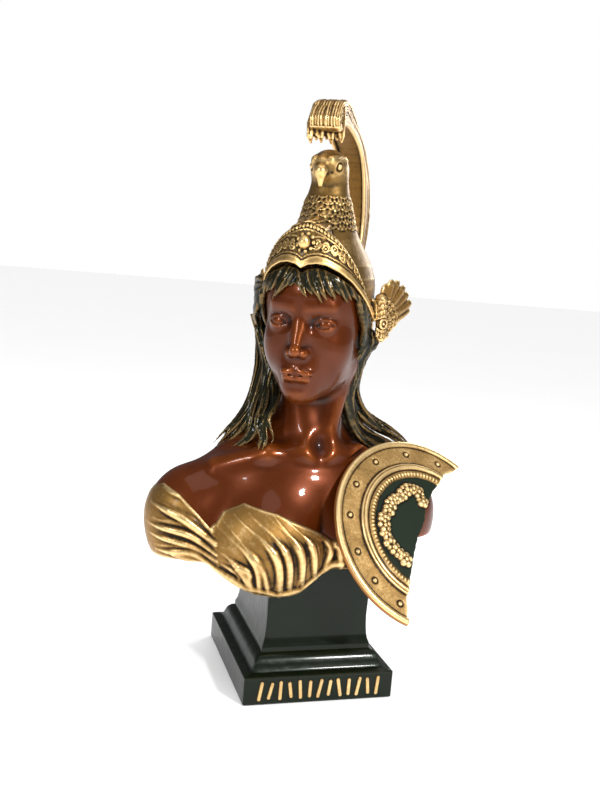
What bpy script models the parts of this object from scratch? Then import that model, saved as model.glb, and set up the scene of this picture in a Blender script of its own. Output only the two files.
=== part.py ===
# Bust of a woman in a winged helmet with a broken shield, on a stepped plinth.
# Metres, +Z up. Origin at the centre of the plinth's underside, front towards -Y.
import math

import bpy
import numpy as np

# Overall places
PLINTH_W = 0.2188
PLINTH_D = 0.2450
SEAT_Z = 0.186
SEAT_GAP = 0.0003
PLINTH_SHAFT_INSET = 0.0345

# Head: where the chin's level meets the head's axis, its turn and its bow
HEAD_HEIGHT = 0.228
HEAD_TURN = -33.0
HEAD_BOW = 4.0
HEAD_AT = np.array([-0.010, -0.012, 0.419])
CHEST_X = -0.016
CHEST_TURN = 5.0

# Eyes in head heights
EYE = np.array([0.138, -0.319, 0.500])
EYE_R = 0.058

# Cloth: its thickness, its upper line in front and behind, and its lower line, as (x, z)
CLOTH = 0.0035
NECKLINE = [(-0.245, 0.262), (-0.236, 0.280), (-0.221, 0.289), (-0.204, 0.281), (-0.182, 0.260),
            (-0.163, 0.240), (-0.155, 0.247), (-0.146, 0.262), (-0.118, 0.276), (-0.077, 0.268),
            (-0.033, 0.249), (0.005, 0.230), (0.035, 0.232), (0.075, 0.245), (0.120, 0.240),
            (0.150, 0.215), (0.210, 0.190)]
BACKLINE = [(-0.245, 0.262), (-0.220, 0.285), (-0.160, 0.262), (-0.050, 0.250), (0.050, 0.250),
            (0.120, 0.235), (0.210, 0.190)]
LOWER = [(-0.245, 0.194), (-0.205, 0.190), (-0.148, 0.174), (-0.111, 0.157), (-0.072, 0.147),
         (-0.039, 0.151), (-0.012, 0.170), (0.010, 0.186), (0.060, 0.190), (0.120, 0.192),
         (0.160, 0.211), (0.210, 0.214)]
LOWER_BEHIND = [(-0.250, 0.188), (0.120, 0.188), (0.160, 0.210), (0.210, 0.213)]

# Helmet in the head's own frame, metres: x to the figure's left, y back, z up from the chin
DOME = np.array([-0.001, 0.000, 0.145])
DOME_R = (0.0765, 0.103)
DOME_SHARE = [(0.0, 1.0), (0.018, 1.0), (0.031, 0.975), (0.049, 0.895), (0.0665, 0.765),
              (0.086, 0.62), (0.114, 0.45), (0.137, 0.31), (0.155, 0.25), (0.168, 0.20)]
DOME_TOP = 0.160
BRIM = [(0, 0.1895), (5, 0.1945), (12, 0.1965), (20, 0.1945), (32, 0.186), (44, 0.174),
        (58, 0.156), (75, 0.134), (95, 0.112), (112, 0.094), (135, 0.080), (180, 0.074)]
FRONTLET = [(0, 0.250), (8, 0.2475), (16, 0.2425), (28, 0.232), (40, 0.2155), (52, 0.1935),
            (61, 0.172), (69, 0.150), (80, 0.130), (92, 0.114)]
FRONTLET_AT = (0.0, 0.003, 0.130)
FRONTLET_R = (0.0800, 0.1085, 0.175)
FRONTLET_END = 92.0
WALL = 0.0045
CROWN_Z = 0.2065
ROOM = 0.0045

# Crest's side view: outer and inner edge as (y, z), and half its width
CREST_OUT = [(-0.028, 0.400), (-0.018, 0.4115), (0.000, 0.4160), (0.020, 0.4130), (0.047, 0.4023),
             (0.0926, 0.3821), (0.1235, 0.3630), (0.1511, 0.3380), (0.1718, 0.3090), (0.1835, 0.2743),
             (0.1790, 0.2384), (0.1650, 0.2080), (0.1460, 0.1780), (0.1240, 0.1450)]
CREST_IN = [(-0.016, 0.372), (0.000, 0.3800), (0.0281, 0.3786), (0.060, 0.3700), (0.089, 0.3575),
            (0.1150, 0.3390), (0.1330, 0.3090), (0.1430, 0.2704), (0.1430, 0.2400), (0.1350, 0.2130),
            (0.1220, 0.1850), (0.1060, 0.1550)]
CREST_HALF = 0.0225
CREST_LOCKS = [(-0.017, -0.018, -0.026, 0.357), (-0.006, -0.020, -0.022, 0.360),
               (0.004, -0.019, -0.014, 0.355), (0.015, -0.016, -0.008, 0.361)]
CREST_PAD_Y = 0.1075

# Wings: the root, the spread's direction seen from above, and feather tips as (out, up, half width)
WING_ROOT = np.array([0.0880, 0.010, 0.118])
WING_SWEEP = 29.0
WING_PAD_X = 0.0835
WING_ROOM = 0.0025
FEATHERS = [(0.006, 0.047, 0.0095), (0.018, 0.053, 0.0095), (0.032, 0.0515, 0.0095),
            (0.045, 0.0440, 0.0095), (0.056, 0.034, 0.0095), (0.0640, 0.022, 0.0090),
            (0.062, 0.0110, 0.0075), (0.051, 0.006, 0.0070), (0.040, 0.002, 0.0065),
            (0.030, -0.004, 0.006), (0.021, -0.011, 0.006), (0.012, -0.020, 0.006)]
FEATHER_TIP = 0.0060

# Shield: centre of its back, facing, size
SHIELD_AT = np.array([0.139, -0.106, 0.2375])
SHIELD_YAW = 15.1
SHIELD_TILT = 36.5
SHIELD_R = 0.1444

# Locks of hair that fall on both sides, as points of their middle lines
FALLS = [
    [(0.057, -0.045, 0.529), (0.065, -0.040, 0.506), (0.051, -0.040, 0.490), (0.044, -0.035, 0.468),
     (0.041, -0.030, 0.440), (0.050, -0.020, 0.412), (0.069, -0.010, 0.390), (0.096, 0.000, 0.372),
     (0.124, 0.000, 0.359), (0.147, 0.005, 0.344)],
    [(0.045, -0.050, 0.515), (0.041, -0.050, 0.493), (0.034, -0.045, 0.472), (0.034, -0.040, 0.448),
     (0.031, -0.036, 0.423), (0.037, -0.030, 0.400), (0.048, -0.028, 0.376), (0.066, -0.025, 0.358),
     (0.092, -0.020, 0.345), (0.115, -0.020, 0.335)],
    [(0.065, -0.030, 0.514), (0.060, -0.020, 0.488), (0.051, -0.015, 0.467), (0.049, -0.010, 0.445),
     (0.055, 0.000, 0.421), (0.068, 0.010, 0.400), (0.089, 0.015, 0.383), (0.114, 0.020, 0.369),
     (0.141, 0.020, 0.351), (0.160, 0.020, 0.334)],
    [(-0.094, 0.030, 0.572), (-0.094, 0.035, 0.543), (-0.085, 0.040, 0.514), (-0.075, 0.040, 0.484),
     (-0.076, 0.030, 0.456), (-0.082, 0.020, 0.431), (-0.089, 0.010, 0.406), (-0.097, 0.005, 0.383),
     (-0.109, 0.005, 0.365), (-0.126, 0.010, 0.346), (-0.142, 0.015, 0.326)],
    [(-0.085, 0.030, 0.507), (-0.079, 0.020, 0.479), (-0.076, 0.010, 0.451), (-0.079, 0.000, 0.423),
     (-0.086, -0.010, 0.402), (-0.094, -0.020, 0.382), (-0.101, -0.025, 0.362), (-0.112, -0.020, 0.346),
     (-0.125, -0.010, 0.335)],
    [(-0.072, 0.010, 0.473), (-0.069, 0.000, 0.445), (-0.071, -0.015, 0.420), (-0.078, -0.034, 0.402),
     (-0.088, -0.044, 0.388), (-0.088, -0.049, 0.375), (-0.086, -0.055, 0.361), (-0.092, -0.060, 0.348)],
]

# Sampling steps and triangle budgets
FIGURE_STEP = 0.0038
FIGURE_TRIANGLES = 5300
HELMET_STEP = 0.0028
HELMET_TRIANGLES = 1300
CREST_STEP = 0.0026
CREST_TRIANGLES = 500
WING_STEP = 0.0018
WING_TRIANGLES = 290


# Forms: each is the signed distance of points from a surface, negative inside
def size(v):
    return np.sqrt(np.einsum("ij,ij->i", v, v))


def ball(p, centre, radius):
    return size(p - np.asarray(centre, np.float32)) - radius


def egg(p, centre, radii, turn=None):
    q = p - np.asarray(centre, np.float32)
    if turn is not None:
        q = q @ turn
    r = np.asarray(radii, np.float32)
    k0 = np.maximum(size(q / r), 1e-6)
    k1 = np.maximum(size(q / (r * r)), 1e-6)
    return k0 * (k0 - 1.0) / k1


def rod(p, a, b, ra, rb):
    a = np.asarray(a, np.float32)
    ab = np.asarray(b, np.float32) - a
    q = p - a
    t = np.clip(q @ ab / max(float(ab @ ab), 1e-12), 0.0, 1.0)
    return size(q - t[:, None] * ab) - (ra + (rb - ra) * t)


def block(p, low, high):
    low = np.asarray(low, np.float32)
    high = np.asarray(high, np.float32)
    return np.maximum(low - p, p - high).max(1)


def melt(a, b, k):
    h = np.maximum(k - np.abs(a - b), 0.0) / k
    return np.minimum(a, b) - h * h * k * 0.25


def dig(a, b, k):
    return -melt(-a, b, k)


def meet(a, b, k):
    return -melt(-a, -b, k)


def spin(axis, degrees):
    a = math.radians(degrees)
    c, s = math.cos(a), math.sin(a)
    if axis == "X":
        rows = [[1, 0, 0], [0, c, -s], [0, s, c]]
    elif axis == "Y":
        rows = [[c, 0, s], [0, 1, 0], [-s, 0, c]]
    else:
        rows = [[c, -s, 0], [s, c, 0], [0, 0, 1]]
    return np.array(rows, np.float32)


def curve(points, count):
    """Smooth curve through the points, as evenly spaced points."""
    pts = np.asarray(points, float)
    ends = np.vstack([2 * pts[0] - pts[1], pts, 2 * pts[-1] - pts[-2]])
    t = np.linspace(0, 1, 16, endpoint=False)[:, None]
    runs = []
    for i in range(len(pts) - 1):
        a, b, c, d = ends[i : i + 4]
        bend = (2 * a - 5 * b + 4 * c - d) * t**2 + (3 * b - a - 3 * c + d) * t**3
        runs.append(0.5 * (2 * b + (c - a) * t + bend))
    line = np.vstack([*runs, pts[-1:]])
    run = np.concatenate([[0], np.cumsum(size(line[1:] - line[:-1]))])
    even = np.linspace(0, run[-1], count)
    return np.stack([np.interp(even, run, line[:, k]) for k in range(3)], 1)


def strand(p, path, radii, flat=1.0, out=None, margin=0.012):
    """Tapered tube along a path, squeezed along the outward direction by flat."""
    path = np.asarray(path, np.float32)
    radii = np.asarray(radii, np.float32)
    low = path.min(0) - radii.max() - margin
    high = path.max(0) + radii.max() + margin
    away = size(np.maximum(np.maximum(low - p, p - high), 0.0))
    near = np.flatnonzero(away == 0)
    d = away + margin
    if len(near) == 0:
        return d
    q = p[near]
    best = np.full(len(q), 1e9, np.float32)
    for i in range(len(path) - 1):
        step = path[i + 1] - path[i]
        v = q - path[i]
        t = np.clip(v @ step / max(float(step @ step), 1e-12), 0.0, 1.0)
        v = v - t[:, None] * step
        r = radii[i] + (radii[i + 1] - radii[i]) * t
        if out is None:
            reach = size(v) - r
        else:
            lift = (v @ np.asarray(out, np.float32))[:, None] * np.asarray(out, np.float32)
            reach = (size(v - lift + lift / flat) - r) * flat
        best = np.minimum(best, reach)
    d[near] = best
    return d


def line_at(line, x):
    xs, values = zip(*line)
    return np.interp(x, xs, values).astype(np.float32)


def mirrored(q):
    m = q.copy()
    m[:, 0] = np.abs(m[:, 0])
    return m


HEAD_AXES = spin("Z", HEAD_TURN) @ spin("X", HEAD_BOW)


def to_head(p):
    """Points in the head's own frame, in metres."""
    return (p - HEAD_AT.astype(np.float32)) @ HEAD_AXES


def from_head(h):
    return HEAD_AT + np.asarray(h, float) @ HEAD_AXES.T


# Face and skull, in head heights
def face(q):
    m = mirrored(q)
    d = egg(q, (0, 0.03, 0.63), (0.310, 0.41, 0.36))
    d = melt(d, egg(q, (0, -0.115, 0.650), (0.262, 0.295, 0.26)), 0.12)
    d = melt(d, egg(q, (0, -0.115, 0.370), (0.245, 0.285, 0.34)), 0.12)
    d = melt(d, rod(m, (0.178, -0.04, 0.225), (0.045, -0.290, 0.105), 0.078, 0.075), 0.12)
    d = melt(d, egg(q, (0, -0.335, 0.082), (0.075, 0.078, 0.070)), 0.07)
    d = melt(d, egg(m, (0.150, -0.215, 0.345), (0.110, 0.130, 0.140)), 0.10)
    d = melt(d, egg(q, (0, -0.330, 0.215), (0.115, 0.098, 0.105)), 0.09)
    # Brow and sockets
    d = melt(d, rod(m, (0.04, -0.372, 0.590), (0.170, -0.330, 0.610), 0.024, 0.016), 0.06)
    d = dig(d, egg(m, (0.138, -0.425, 0.512), (0.085, 0.062, 0.046)), 0.055)
    d = dig(d, ball(m, (0.066, -0.412, 0.495), 0.012), 0.04)
    # Nose
    nose = rod(q, (0, -0.372, 0.560), (0, -0.462, 0.365), 0.024, 0.026)
    nose = melt(nose, egg(q, (0, -0.385, 0.40), (0.048, 0.066, 0.120)), 0.045)
    nose = melt(nose, ball(q, (0, -0.469, 0.345), 0.031), 0.024)
    nose = melt(nose, egg(m, (0.041, -0.430, 0.334), (0.025, 0.038, 0.026)), 0.020)
    d = melt(d, nose, 0.032)
    # Lips
    upper = egg(m, (0.034, -0.409, 0.2225), (0.062, 0.033, 0.021), spin("Y", 9) @ spin("Z", -16))
    lower = egg(m, (0.018, -0.4040, 0.1780), (0.062, 0.036, 0.026), spin("Z", -12))
    d = melt(d, upper, 0.026)
    d = melt(d, lower, 0.026)
    d = dig(d, rod(m, (0, -0.455, 0.2000), (0.086, -0.408, 0.2010), 0.0015, 0.002), 0.014)
    d = dig(d, rod(m, (0, -0.452, 0.128), (0.04, -0.445, 0.130), 0.012, 0.010), 0.055)
    # Eyeballs and lids
    lid = ball(m, EYE, EYE_R + 0.0075)
    u = m[:, 0] - EYE[0]
    w = m[:, 2] - EYE[2] - 0.05 * u
    upper_edge = np.hypot(u, w + 0.062) - 0.0935
    lower_edge = np.hypot(u, w - 0.108) - 0.1290
    opening = np.maximum(np.maximum(upper_edge, lower_edge), m[:, 1] - EYE[1])
    lid = dig(lid, opening, 0.005)
    d = melt(d, lid, 0.018)
    return np.minimum(d, ball(m, EYE, EYE_R))


def from_chest(point):
    return np.array([CHEST_X, 0, 0]) + spin("Z", CHEST_TURN) @ np.asarray(point, float)


def trunk(p):
    """Neck, shoulders and chest."""
    c = (p - np.array([CHEST_X, 0, 0], np.float32)) @ spin("Z", CHEST_TURN)
    s = mirrored(c)
    d = egg(c, (0, 0.012, 0.225), (0.128, 0.090, 0.140))
    d = melt(d, egg(c, (0, -0.010, 0.282), (0.125, 0.066, 0.070)), 0.05)
    d = melt(d, rod(s, (0.030, 0.026, 0.345), (0.146, 0.014, 0.260), 0.036, 0.040), 0.04)
    d = melt(d, egg(s, (0.168, 0.010, 0.244), (0.042, 0.044, 0.054)), 0.06)
    d = melt(d, rod(s, (0.173, 0.008, 0.243), (0.173, 0.004, 0.205), 0.037, 0.034), 0.04)
    d = melt(d, rod(s, (0.168, 0.000, 0.225), (0.090, -0.010, 0.210), 0.030, 0.050), 0.06)
    d = melt(d, egg(s, (0.067, -0.068, 0.214), (0.064, 0.050, 0.060)), 0.045)
    d = melt(d, egg(c, (0, 0.045, 0.25), (0.130, 0.062, 0.11)), 0.05)
    neck_top = from_head((0, 0.0137, 0.0502))
    d = melt(d, rod(p, from_chest((0.002, 0.024, 0.325)), neck_top, 0.049, 0.046), 0.045)
    # Collar bones
    d = melt(d, rod(s, (0.016, -0.058, 0.344), (0.070, -0.046, 0.340), 0.006, 0.006), 0.022)
    d = melt(d, rod(s, (0.070, -0.046, 0.340), (0.132, -0.012, 0.315), 0.006, 0.006), 0.024)
    # Neck's two bands and the notch between the collar bones
    for side in (1, -1):
        ear = from_head((side * 0.0530, 0.0137, 0.0821))
        d = melt(d, rod(p, from_chest((side * 0.011, -0.050, 0.347)), ear, 0.005, 0.007), 0.036)
    return dig(d, ball(c, (0, -0.072, 0.358), 0.010), 0.022)


def skin(p):
    head = face(to_head(p) / HEAD_HEIGHT) * HEAD_HEIGHT
    return melt(trunk(p), head, 0.014)


def draped_body(p):
    """Trunk under the cloth, with the lobe that hangs in front of the plinth."""
    return melt(trunk(p), egg(p, (-0.070, -0.070, 0.205), (0.075, 0.050, 0.062)), 0.03)


def land(field, points, direction):
    """Slides points along a direction until they meet the surface."""
    p = np.array(points, np.float32)
    n = np.asarray(direction, np.float32)
    n = n / np.sqrt((n * n).sum(-1, keepdims=True))
    for _ in range(60):
        p = p + (np.minimum(field(p), 0.03) * 0.8)[:, None] * n
    return p


def fold_lines():
    """Folds as (points, half width): over the right breast, round the arm, on the left breast."""
    lines = []
    start = curve([(-0.165, 0, 0.200), (-0.160, 0, 0.236), (-0.131, 0, 0.262), (-0.084, 0, 0.266),
                   (-0.040, 0, 0.247), (-0.009, 0, 0.228), (0.030, 0, 0.222)], 64)
    end = curve([(-0.120, 0, 0.162), (-0.087, 0, 0.149), (-0.058, 0, 0.150), (-0.031, 0, 0.166),
                 (-0.007, 0, 0.180), (0.020, 0, 0.190), (0.050, 0, 0.190)], 64)
    for i in range(9):
        a, b = start[i * 63 // 8], end[i * 63 // 8]
        middle = (a + b) / 2 + np.array([0.010, 0, 0.012])
        lines.append((curve([a, middle, b], 9), 0.0062 + 0.0012 * math.sin(2.1 * i)))
    outer = curve([(-0.214, 0, 0.290), (-0.232, 0, 0.272), (-0.240, 0, 0.245), (-0.238, 0, 0.220),
                   (-0.226, 0, 0.196)], 64)
    inner = curve([(-0.164, 0, 0.240), (-0.160, 0, 0.224), (-0.156, 0, 0.208), (-0.150, 0, 0.192),
                   (-0.146, 0, 0.178)], 64)
    for i in range(5):
        a, b = outer[i * 63 // 4], inner[i * 63 // 4]
        lines.append((curve([a, (a + b) / 2 + np.array([0.002, 0, 0.006]), b], 8), 0.0056))
    return lines


def folds():
    made = []
    for line, r in fold_lines():
        path = line.copy()
        path[:, 1] = -0.20
        path = land(draped_body, path, (0, 1, 0))
        made.append((path, r * (0.55 + 0.45 * np.sin(np.linspace(0.25, math.pi - 0.25, len(path))))))
    x = np.linspace(-0.226, 0.130, 44)
    hem = np.stack([x, np.full_like(x, -0.20), line_at(NECKLINE, x)], 1)
    made.append((land(draped_body, hem, (0, 1, 0)), np.full(len(hem), 0.0048)))
    return made


def neckline(p):
    back = np.clip((p[:, 1] + 0.02) / 0.05, 0, 1)
    back = back * back * (3 - 2 * back)
    return line_at(NECKLINE, p[:, 0]) * (1 - back) + line_at(BACKLINE, p[:, 0]) * back


def cloth(p, fold_list):
    d = draped_body(p) - CLOTH
    near = np.flatnonzero(np.abs(d) < 0.03)
    if len(near):
        q, e = p[near], d[near]
        for path, r in fold_list:
            e = melt(e, strand(q, path, r), 0.006)
        d[near] = e
    return meet(d, p[:, 2] - neckline(p), 0.004)


def underside(p):
    """Height of the figure's lower edge: hanging cloth in front, level behind."""
    back = np.clip((p[:, 1] + 0.092) / 0.020, 0, 1)
    return line_at(LOWER, p[:, 0]) * (1 - back) + line_at(LOWER_BEHIND, p[:, 0]) * back


# Hair
def on_brow(angle, z):
    a = math.radians(angle)
    return (0.16 * math.sin(a), 0.003 - 0.16 * math.cos(a), z)


def laid_on_head(points, lift):
    """Points of the head's frame pushed straight in onto the skull, then lifted."""
    h = np.asarray(points, float)
    inward = np.array([0, 0.003, 0.0]) - h
    inward[:, 2] = 0
    direction = inward @ HEAD_AXES.T
    unit = direction / np.sqrt((direction * direction).sum(1, keepdims=True))
    return land(skin, from_head(h), direction) - unit * lift


def brim(angle):
    return line_at(BRIM, angle)


def locks():
    """Locks as (path, half widths)."""
    made = []
    # Fringe over the brow
    taper = np.array([0.0085, 0.0088, 0.0088, 0.0085, 0.0078, 0.0070, 0.0055, 0.0035, 0.0015])
    for i in range(9):
        angle = -60 + 13.2 * i
        high = float(brim(abs(angle))) + 0.006
        low = 0.153 + 0.004 * math.sin(2.1 * i)
        points = [on_brow(angle - 2, high), on_brow(angle + 1, high * 0.65 + low * 0.35),
                  on_brow(angle + 9, high * 0.25 + low * 0.75), on_brow(angle + 14, low)]
        made.append((laid_on_head(curve(points, 9), 0.004), taper))
    # Temples and over the ears
    for side in (1, -1):
        for i in range(4):
            first, last = 54 + 13 * i, 76 + 12 * i
            high, low = float(brim(first)), 0.104 - 0.007 * i
            points = [on_brow(side * first, high + 0.006), on_brow(side * (first + 3), high * 0.6 + low * 0.4),
                      on_brow(side * last, low), on_brow(side * (last + 12), low - 0.022)]
            made.append((laid_on_head(curve(points, 10), 0.007), np.linspace(0.0100, 0.0080, 10)))
    # Falls on both sides
    for fall in FALLS:
        width = np.interp(np.linspace(0, 1, 16), [0, 0.3, 0.75, 1], [0.0085, 0.0105, 0.0100, 0.0035])
        made.append((curve(fall, 16), width))
    # Back of the head, down between the shoulders
    for i in range(9):
        s = (i - 4) / 4
        around = 0.95 * s
        points = [from_head((0.13 * math.sin(around), 0.02 + 0.13 * math.cos(around), z))
                  for z in (0.100, 0.060)]
        for k, z in enumerate((0.425, 0.385, 0.345, 0.310, 0.285 + 0.02 * abs(s))):
            x = 0.008 + (0.058 + 0.010 * k) * s + 0.005 * math.sin(1.9 * k + 1.3 * i)
            points.append((x, 0.14 - 0.05 * s * s, z))
        width = np.interp(np.linspace(0, 1, 16), [0, 0.3, 0.75, 1], [0.0085, 0.0100, 0.0105, 0.004])
        made.append((laid_behind(curve(points, 16), 0.003), width))
    return made


def hair_mass(p):
    """The hair's bulk on the skull, the nape and the upper back."""
    h = to_head(p)
    m = mirrored(h)
    d = egg(h, (0, 0.012, 0.150), (0.0745, 0.098, 0.080))
    d = meet(d, -(h[:, 1] + 0.035 + (h[:, 2] - 0.10) * 0.75) * 0.8, 0.01)
    d = melt(d, egg(m, (0.056, 0.026, 0.100), (0.018, 0.038, 0.040)), 0.02)
    d = melt(d, egg(h, (0, 0.062, 0.078), (0.052, 0.044, 0.080)), 0.03)
    d = melt(d, rod(p, from_head((0, 0.055, 0.03)), (0.002, 0.052, 0.390), 0.042, 0.046), 0.03)
    return melt(d, egg(p, (-0.008, 0.070, 0.340), (0.090, 0.030, 0.064)), 0.03)


def laid_behind(points, lift):
    """Points pushed level towards the nape until they meet the hair or the back, then lifted."""
    p = np.asarray(points, float)
    inward = np.array([0.0, 0.02, 0.0]) - p
    inward[:, 2] = 0
    unit = inward / np.sqrt((inward * inward).sum(1, keepdims=True))
    return land(lambda q: np.minimum(skin(q), hair_mass(q)), p, unit) - unit * lift


def hair(p, lock_list):
    d = hair_mass(p)
    for path, r in lock_list:
        d = melt(d, strand(p, path, r), 0.0035)
    return d


# Helmet
def turn_of(h):
    """Angle from the front in degrees, to either side."""
    return np.degrees(np.arctan2(np.abs(h[:, 0] - DOME[0]), DOME[1] - h[:, 1]))


def dome(h, offset=0.0):
    """Oval dome drawn up into the bird's neck."""
    rise = h[:, 2] - DOME[2]
    share = line_at(DOME_SHARE, rise)
    share = share * np.sqrt(np.clip(1.0 - (np.minimum(rise, 0.0) / 0.30) ** 2, 0.05, 1.0))
    rounding = np.clip(rise / 0.11, 0, 1)
    a = DOME_R[0] * share
    b = DOME_R[1] * share * (1 - rounding) + rounding * DOME_R[0] * share * 1.05
    u = h[:, 0] - DOME[0]
    w = h[:, 1] - DOME[1] - 0.014 * np.clip(rise / 0.10, 0, 1)
    k0 = np.maximum(np.sqrt((u / a) ** 2 + (w / b) ** 2), 1e-6)
    k1 = np.maximum(np.sqrt((u / (a * a)) ** 2 + (w / (b * b)) ** 2), 1e-6)
    # Closed inside the bird's neck
    return np.maximum(k0 * (k0 - 1.0) / k1 * 0.8 - offset, rise - DOME_TOP)


def frontlet_face(h, offset=0.0):
    radii = tuple(r + offset for r in FRONTLET_R)
    return np.maximum(egg(h, FRONTLET_AT, radii), (turn_of(h) - FRONTLET_END) * 0.001)


def helmet_outside(h, offset=0.0):
    top = line_at(FRONTLET, turn_of(h))
    plate = meet(frontlet_face(h, offset), (h[:, 2] - top) * 0.8, 0.002)
    return np.minimum(dome(h, offset), plate)


def hollow(h):
    """Room inside the helmet."""
    return np.maximum(egg(h, (0, 0.001, 0.130), (0.0735, 0.1015, 0.130)), dome(h, -WALL))


def helmet(p):
    h = to_head(p)
    m = mirrored(h)
    d = helmet_outside(h)
    edge = (np.abs(h[:, 2] - brim(turn_of(h)) - 0.0045) - 0.0050) * 0.8
    d = melt(d, np.maximum(np.minimum(dome(h, 0.0018), frontlet_face(h, 0.0018)), edge), 0.003)
    # Pads that carry the wings and the crest
    d = melt(d, block(m, (0.060, 0.001, 0.119), (WING_PAD_X + 0.001, 0.021, 0.147)), 0.002)
    d = melt(d, block(h, (-0.018, 0.080, 0.130), (0.018, CREST_PAD_Y + 0.001, 0.166)), 0.002)
    # Breast, neck, head and beak of the bird
    d = melt(d, rod(h, (0, -0.052, 0.232), (0, 0.004, 0.268), 0.019, 0.026), 0.020)
    d = melt(d, rod(h, (0, 0.020, 0.262), (0, 0.014, 0.318), 0.027, 0.0225), 0.016)
    d = melt(d, egg(h, (0, 0.007, 0.324), (0.0260, 0.033, 0.0255)), 0.008)
    d = melt(d, egg(h, (0, -0.014, 0.330), (0.020, 0.020, 0.012)), 0.006)
    d = melt(d, rod(h, (0, -0.020, 0.328), (0, -0.036, 0.318), 0.011, 0.0075), 0.005)
    d = melt(d, rod(h, (0, -0.036, 0.318), (0, -0.034, 0.300), 0.0075, 0.003), 0.005)
    d = melt(d, rod(m, (0.012, -0.026, 0.3345), (0.020, 0.006, 0.335), 0.004, 0.005), 0.006)
    d = melt(d, egg(h, (0.0, -0.0935, 0.2235), (0.008, 0.007, 0.009)), 0.002)
    # Lower edge, the room inside, and in it the boss that bears on the crown
    d = meet(d, (brim(turn_of(h)) - h[:, 2]) * 0.8, 0.0015)
    boss = np.maximum(np.hypot(h[:, 0] / 0.032, (h[:, 1] - 0.005) / 0.042) - 1.0, 0.0) * 0.03
    boss = np.maximum(boss - 0.0005, CROWN_Z - 0.001 - h[:, 2])
    return np.maximum(d, -np.maximum(np.maximum(hollow(h), h[:, 2] - CROWN_Z - 0.004), -boss))


def helmet_room(p):
    """Negative where the figure makes room for the helmet's wall."""
    h = to_head(p)
    inside = np.maximum(hollow(h), h[:, 2] - CROWN_Z - 0.02)
    return np.maximum(brim(turn_of(h)) - 0.006 - h[:, 2], -(inside + ROOM))


def figure_field():
    fold_list = folds()
    lock_list = locks()

    def field(p):
        d = meet(skin(p), neckline(p) - 0.012 - p[:, 2], 0.003)
        d = melt(d, cloth(p, fold_list), 0.001)
        d = melt(d, hair(p, lock_list), 0.002)
        # The left arm's bearing behind the shield
        d = melt(d, egg(p, (0.088, -0.085, 0.245), (0.036, 0.050, 0.045)), 0.02)
        d = np.maximum(d, -helmet_room(p))
        for side in (1, -1):
            beside = WING_PAD_X - 0.002 - side * to_head(p)[:, 0]
            d = np.maximum(d, -np.maximum(wing(p, side) - WING_ROOM, beside))
        return meet(d, underside(p) - p[:, 2], 0.004)

    return field


def crest(p):
    h = to_head(p)
    outer = curve([(0, *a) for a in CREST_OUT], 26)
    inner = curve([(0, *a) for a in CREST_IN], 26)
    middle = ((outer + inner) / 2).astype(np.float32)
    half = size(outer - inner) / 2
    d = np.full(len(h), 1e9, np.float32)
    for i in range(len(middle) - 1):
        step = middle[i + 1] - middle[i]
        q = h[:, 1:] - middle[i, 1:]
        t = np.clip(q @ step[1:] / float(step @ step), 0, 1)
        d = np.minimum(d, size(q - t[:, None] * step[1:]) - (half[i] + (half[i + 1] - half[i]) * t))
    d = meet(d, np.abs(h[:, 0]) - CREST_HALF, 0.008)
    for x, y0, y1, z1 in CREST_LOCKS:
        d = melt(d, rod(h, (x, y0, 0.394), (x * 1.1, y1, z1), 0.0085, 0.0040), 0.005)
    # Clear of the helmet but for the pad that carries it
    clear = np.minimum(0.0025 - helmet_outside(h), CREST_PAD_Y - 0.004 - h[:, 1])
    return np.maximum(d, np.where(h[:, 2] < 0.26, clear, -1.0))


def wing(p, side):
    h = to_head(p) * np.array([side, 1, 1], np.float32)
    a = math.radians(WING_SWEEP)
    outward = np.array([math.sin(a), math.cos(a), 0], np.float32)
    across = np.array([math.cos(a), -math.sin(a), 0], np.float32)
    q = h - WING_ROOT.astype(np.float32)
    w = q @ outward
    flat = np.stack([w, q[:, 2], q @ across + 0.8 * w * w], 1)
    d = rod(flat, (0.003, -0.024, 0), (-0.002, 0.030, 0), 0.0065, 0.0085)
    d = melt(d, egg(flat, (0.028, 0.022, 0), (0.032, 0.027, 0.0035)), 0.002)
    for tip_w, tip_z, r in FEATHERS:
        root = np.array([0.0, -0.012 + 0.35 * tip_z, 0.0])
        tip = np.array([tip_w, tip_z, 0.0])
        path = [root, root + (tip - root) * 0.6, tip]
        d = melt(d, strand(flat, path, [0.0065, r, FEATHER_TIP], 0.42, (0, 0, 1)), 0.0012)
    # Clear of the helmet but for the pad that carries it
    return np.maximum(d, -(helmet_outside(h) - 0.0025))


# Meshes of the forms
CORNERS = np.array([[i, j, k] for i in (0, 1) for j in (0, 1) for k in (0, 1)])
EDGES = [(a, b) for a in range(8) for b in range(a + 1, 8) if np.abs(CORNERS[a] - CORNERS[b]).sum() == 1]


def sampled(field, low, high, step, tile=8):
    """The form on a regular grid, worked out only in tiles near its surface."""
    tiles = np.maximum(np.ceil((high - low) / (step * tile)).astype(int), 1)
    grid = np.stack(np.meshgrid(*[np.arange(n) for n in tiles], indexing="ij"), -1).reshape(-1, 3)
    middle = field((low + (grid + 0.5) * step * tile).astype(np.float32))
    values = middle.reshape(tiles)
    for axis in range(3):
        values = np.repeat(values, tile, axis)
    values = values.astype(np.float32)
    active = grid[np.abs(middle) < step * tile * 1.17 + 2 * step]
    local = np.stack(np.meshgrid(*[np.arange(tile)] * 3, indexing="ij"), -1).reshape(-1, 3)
    for start in range(0, len(active), 2000):
        index = (active[start : start + 2000, None, :] * tile + local[None]).reshape(-1, 3)
        values[tuple(index.T)] = field((low + index * step).astype(np.float32))
    return values


def shifted(grid, offset):
    """The grid seen from its cells' corner at an offset of 0 or 1 along each axis."""
    return grid[tuple(slice(o, n - 1 + o) for o, n in zip(offset, grid.shape))]


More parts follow.
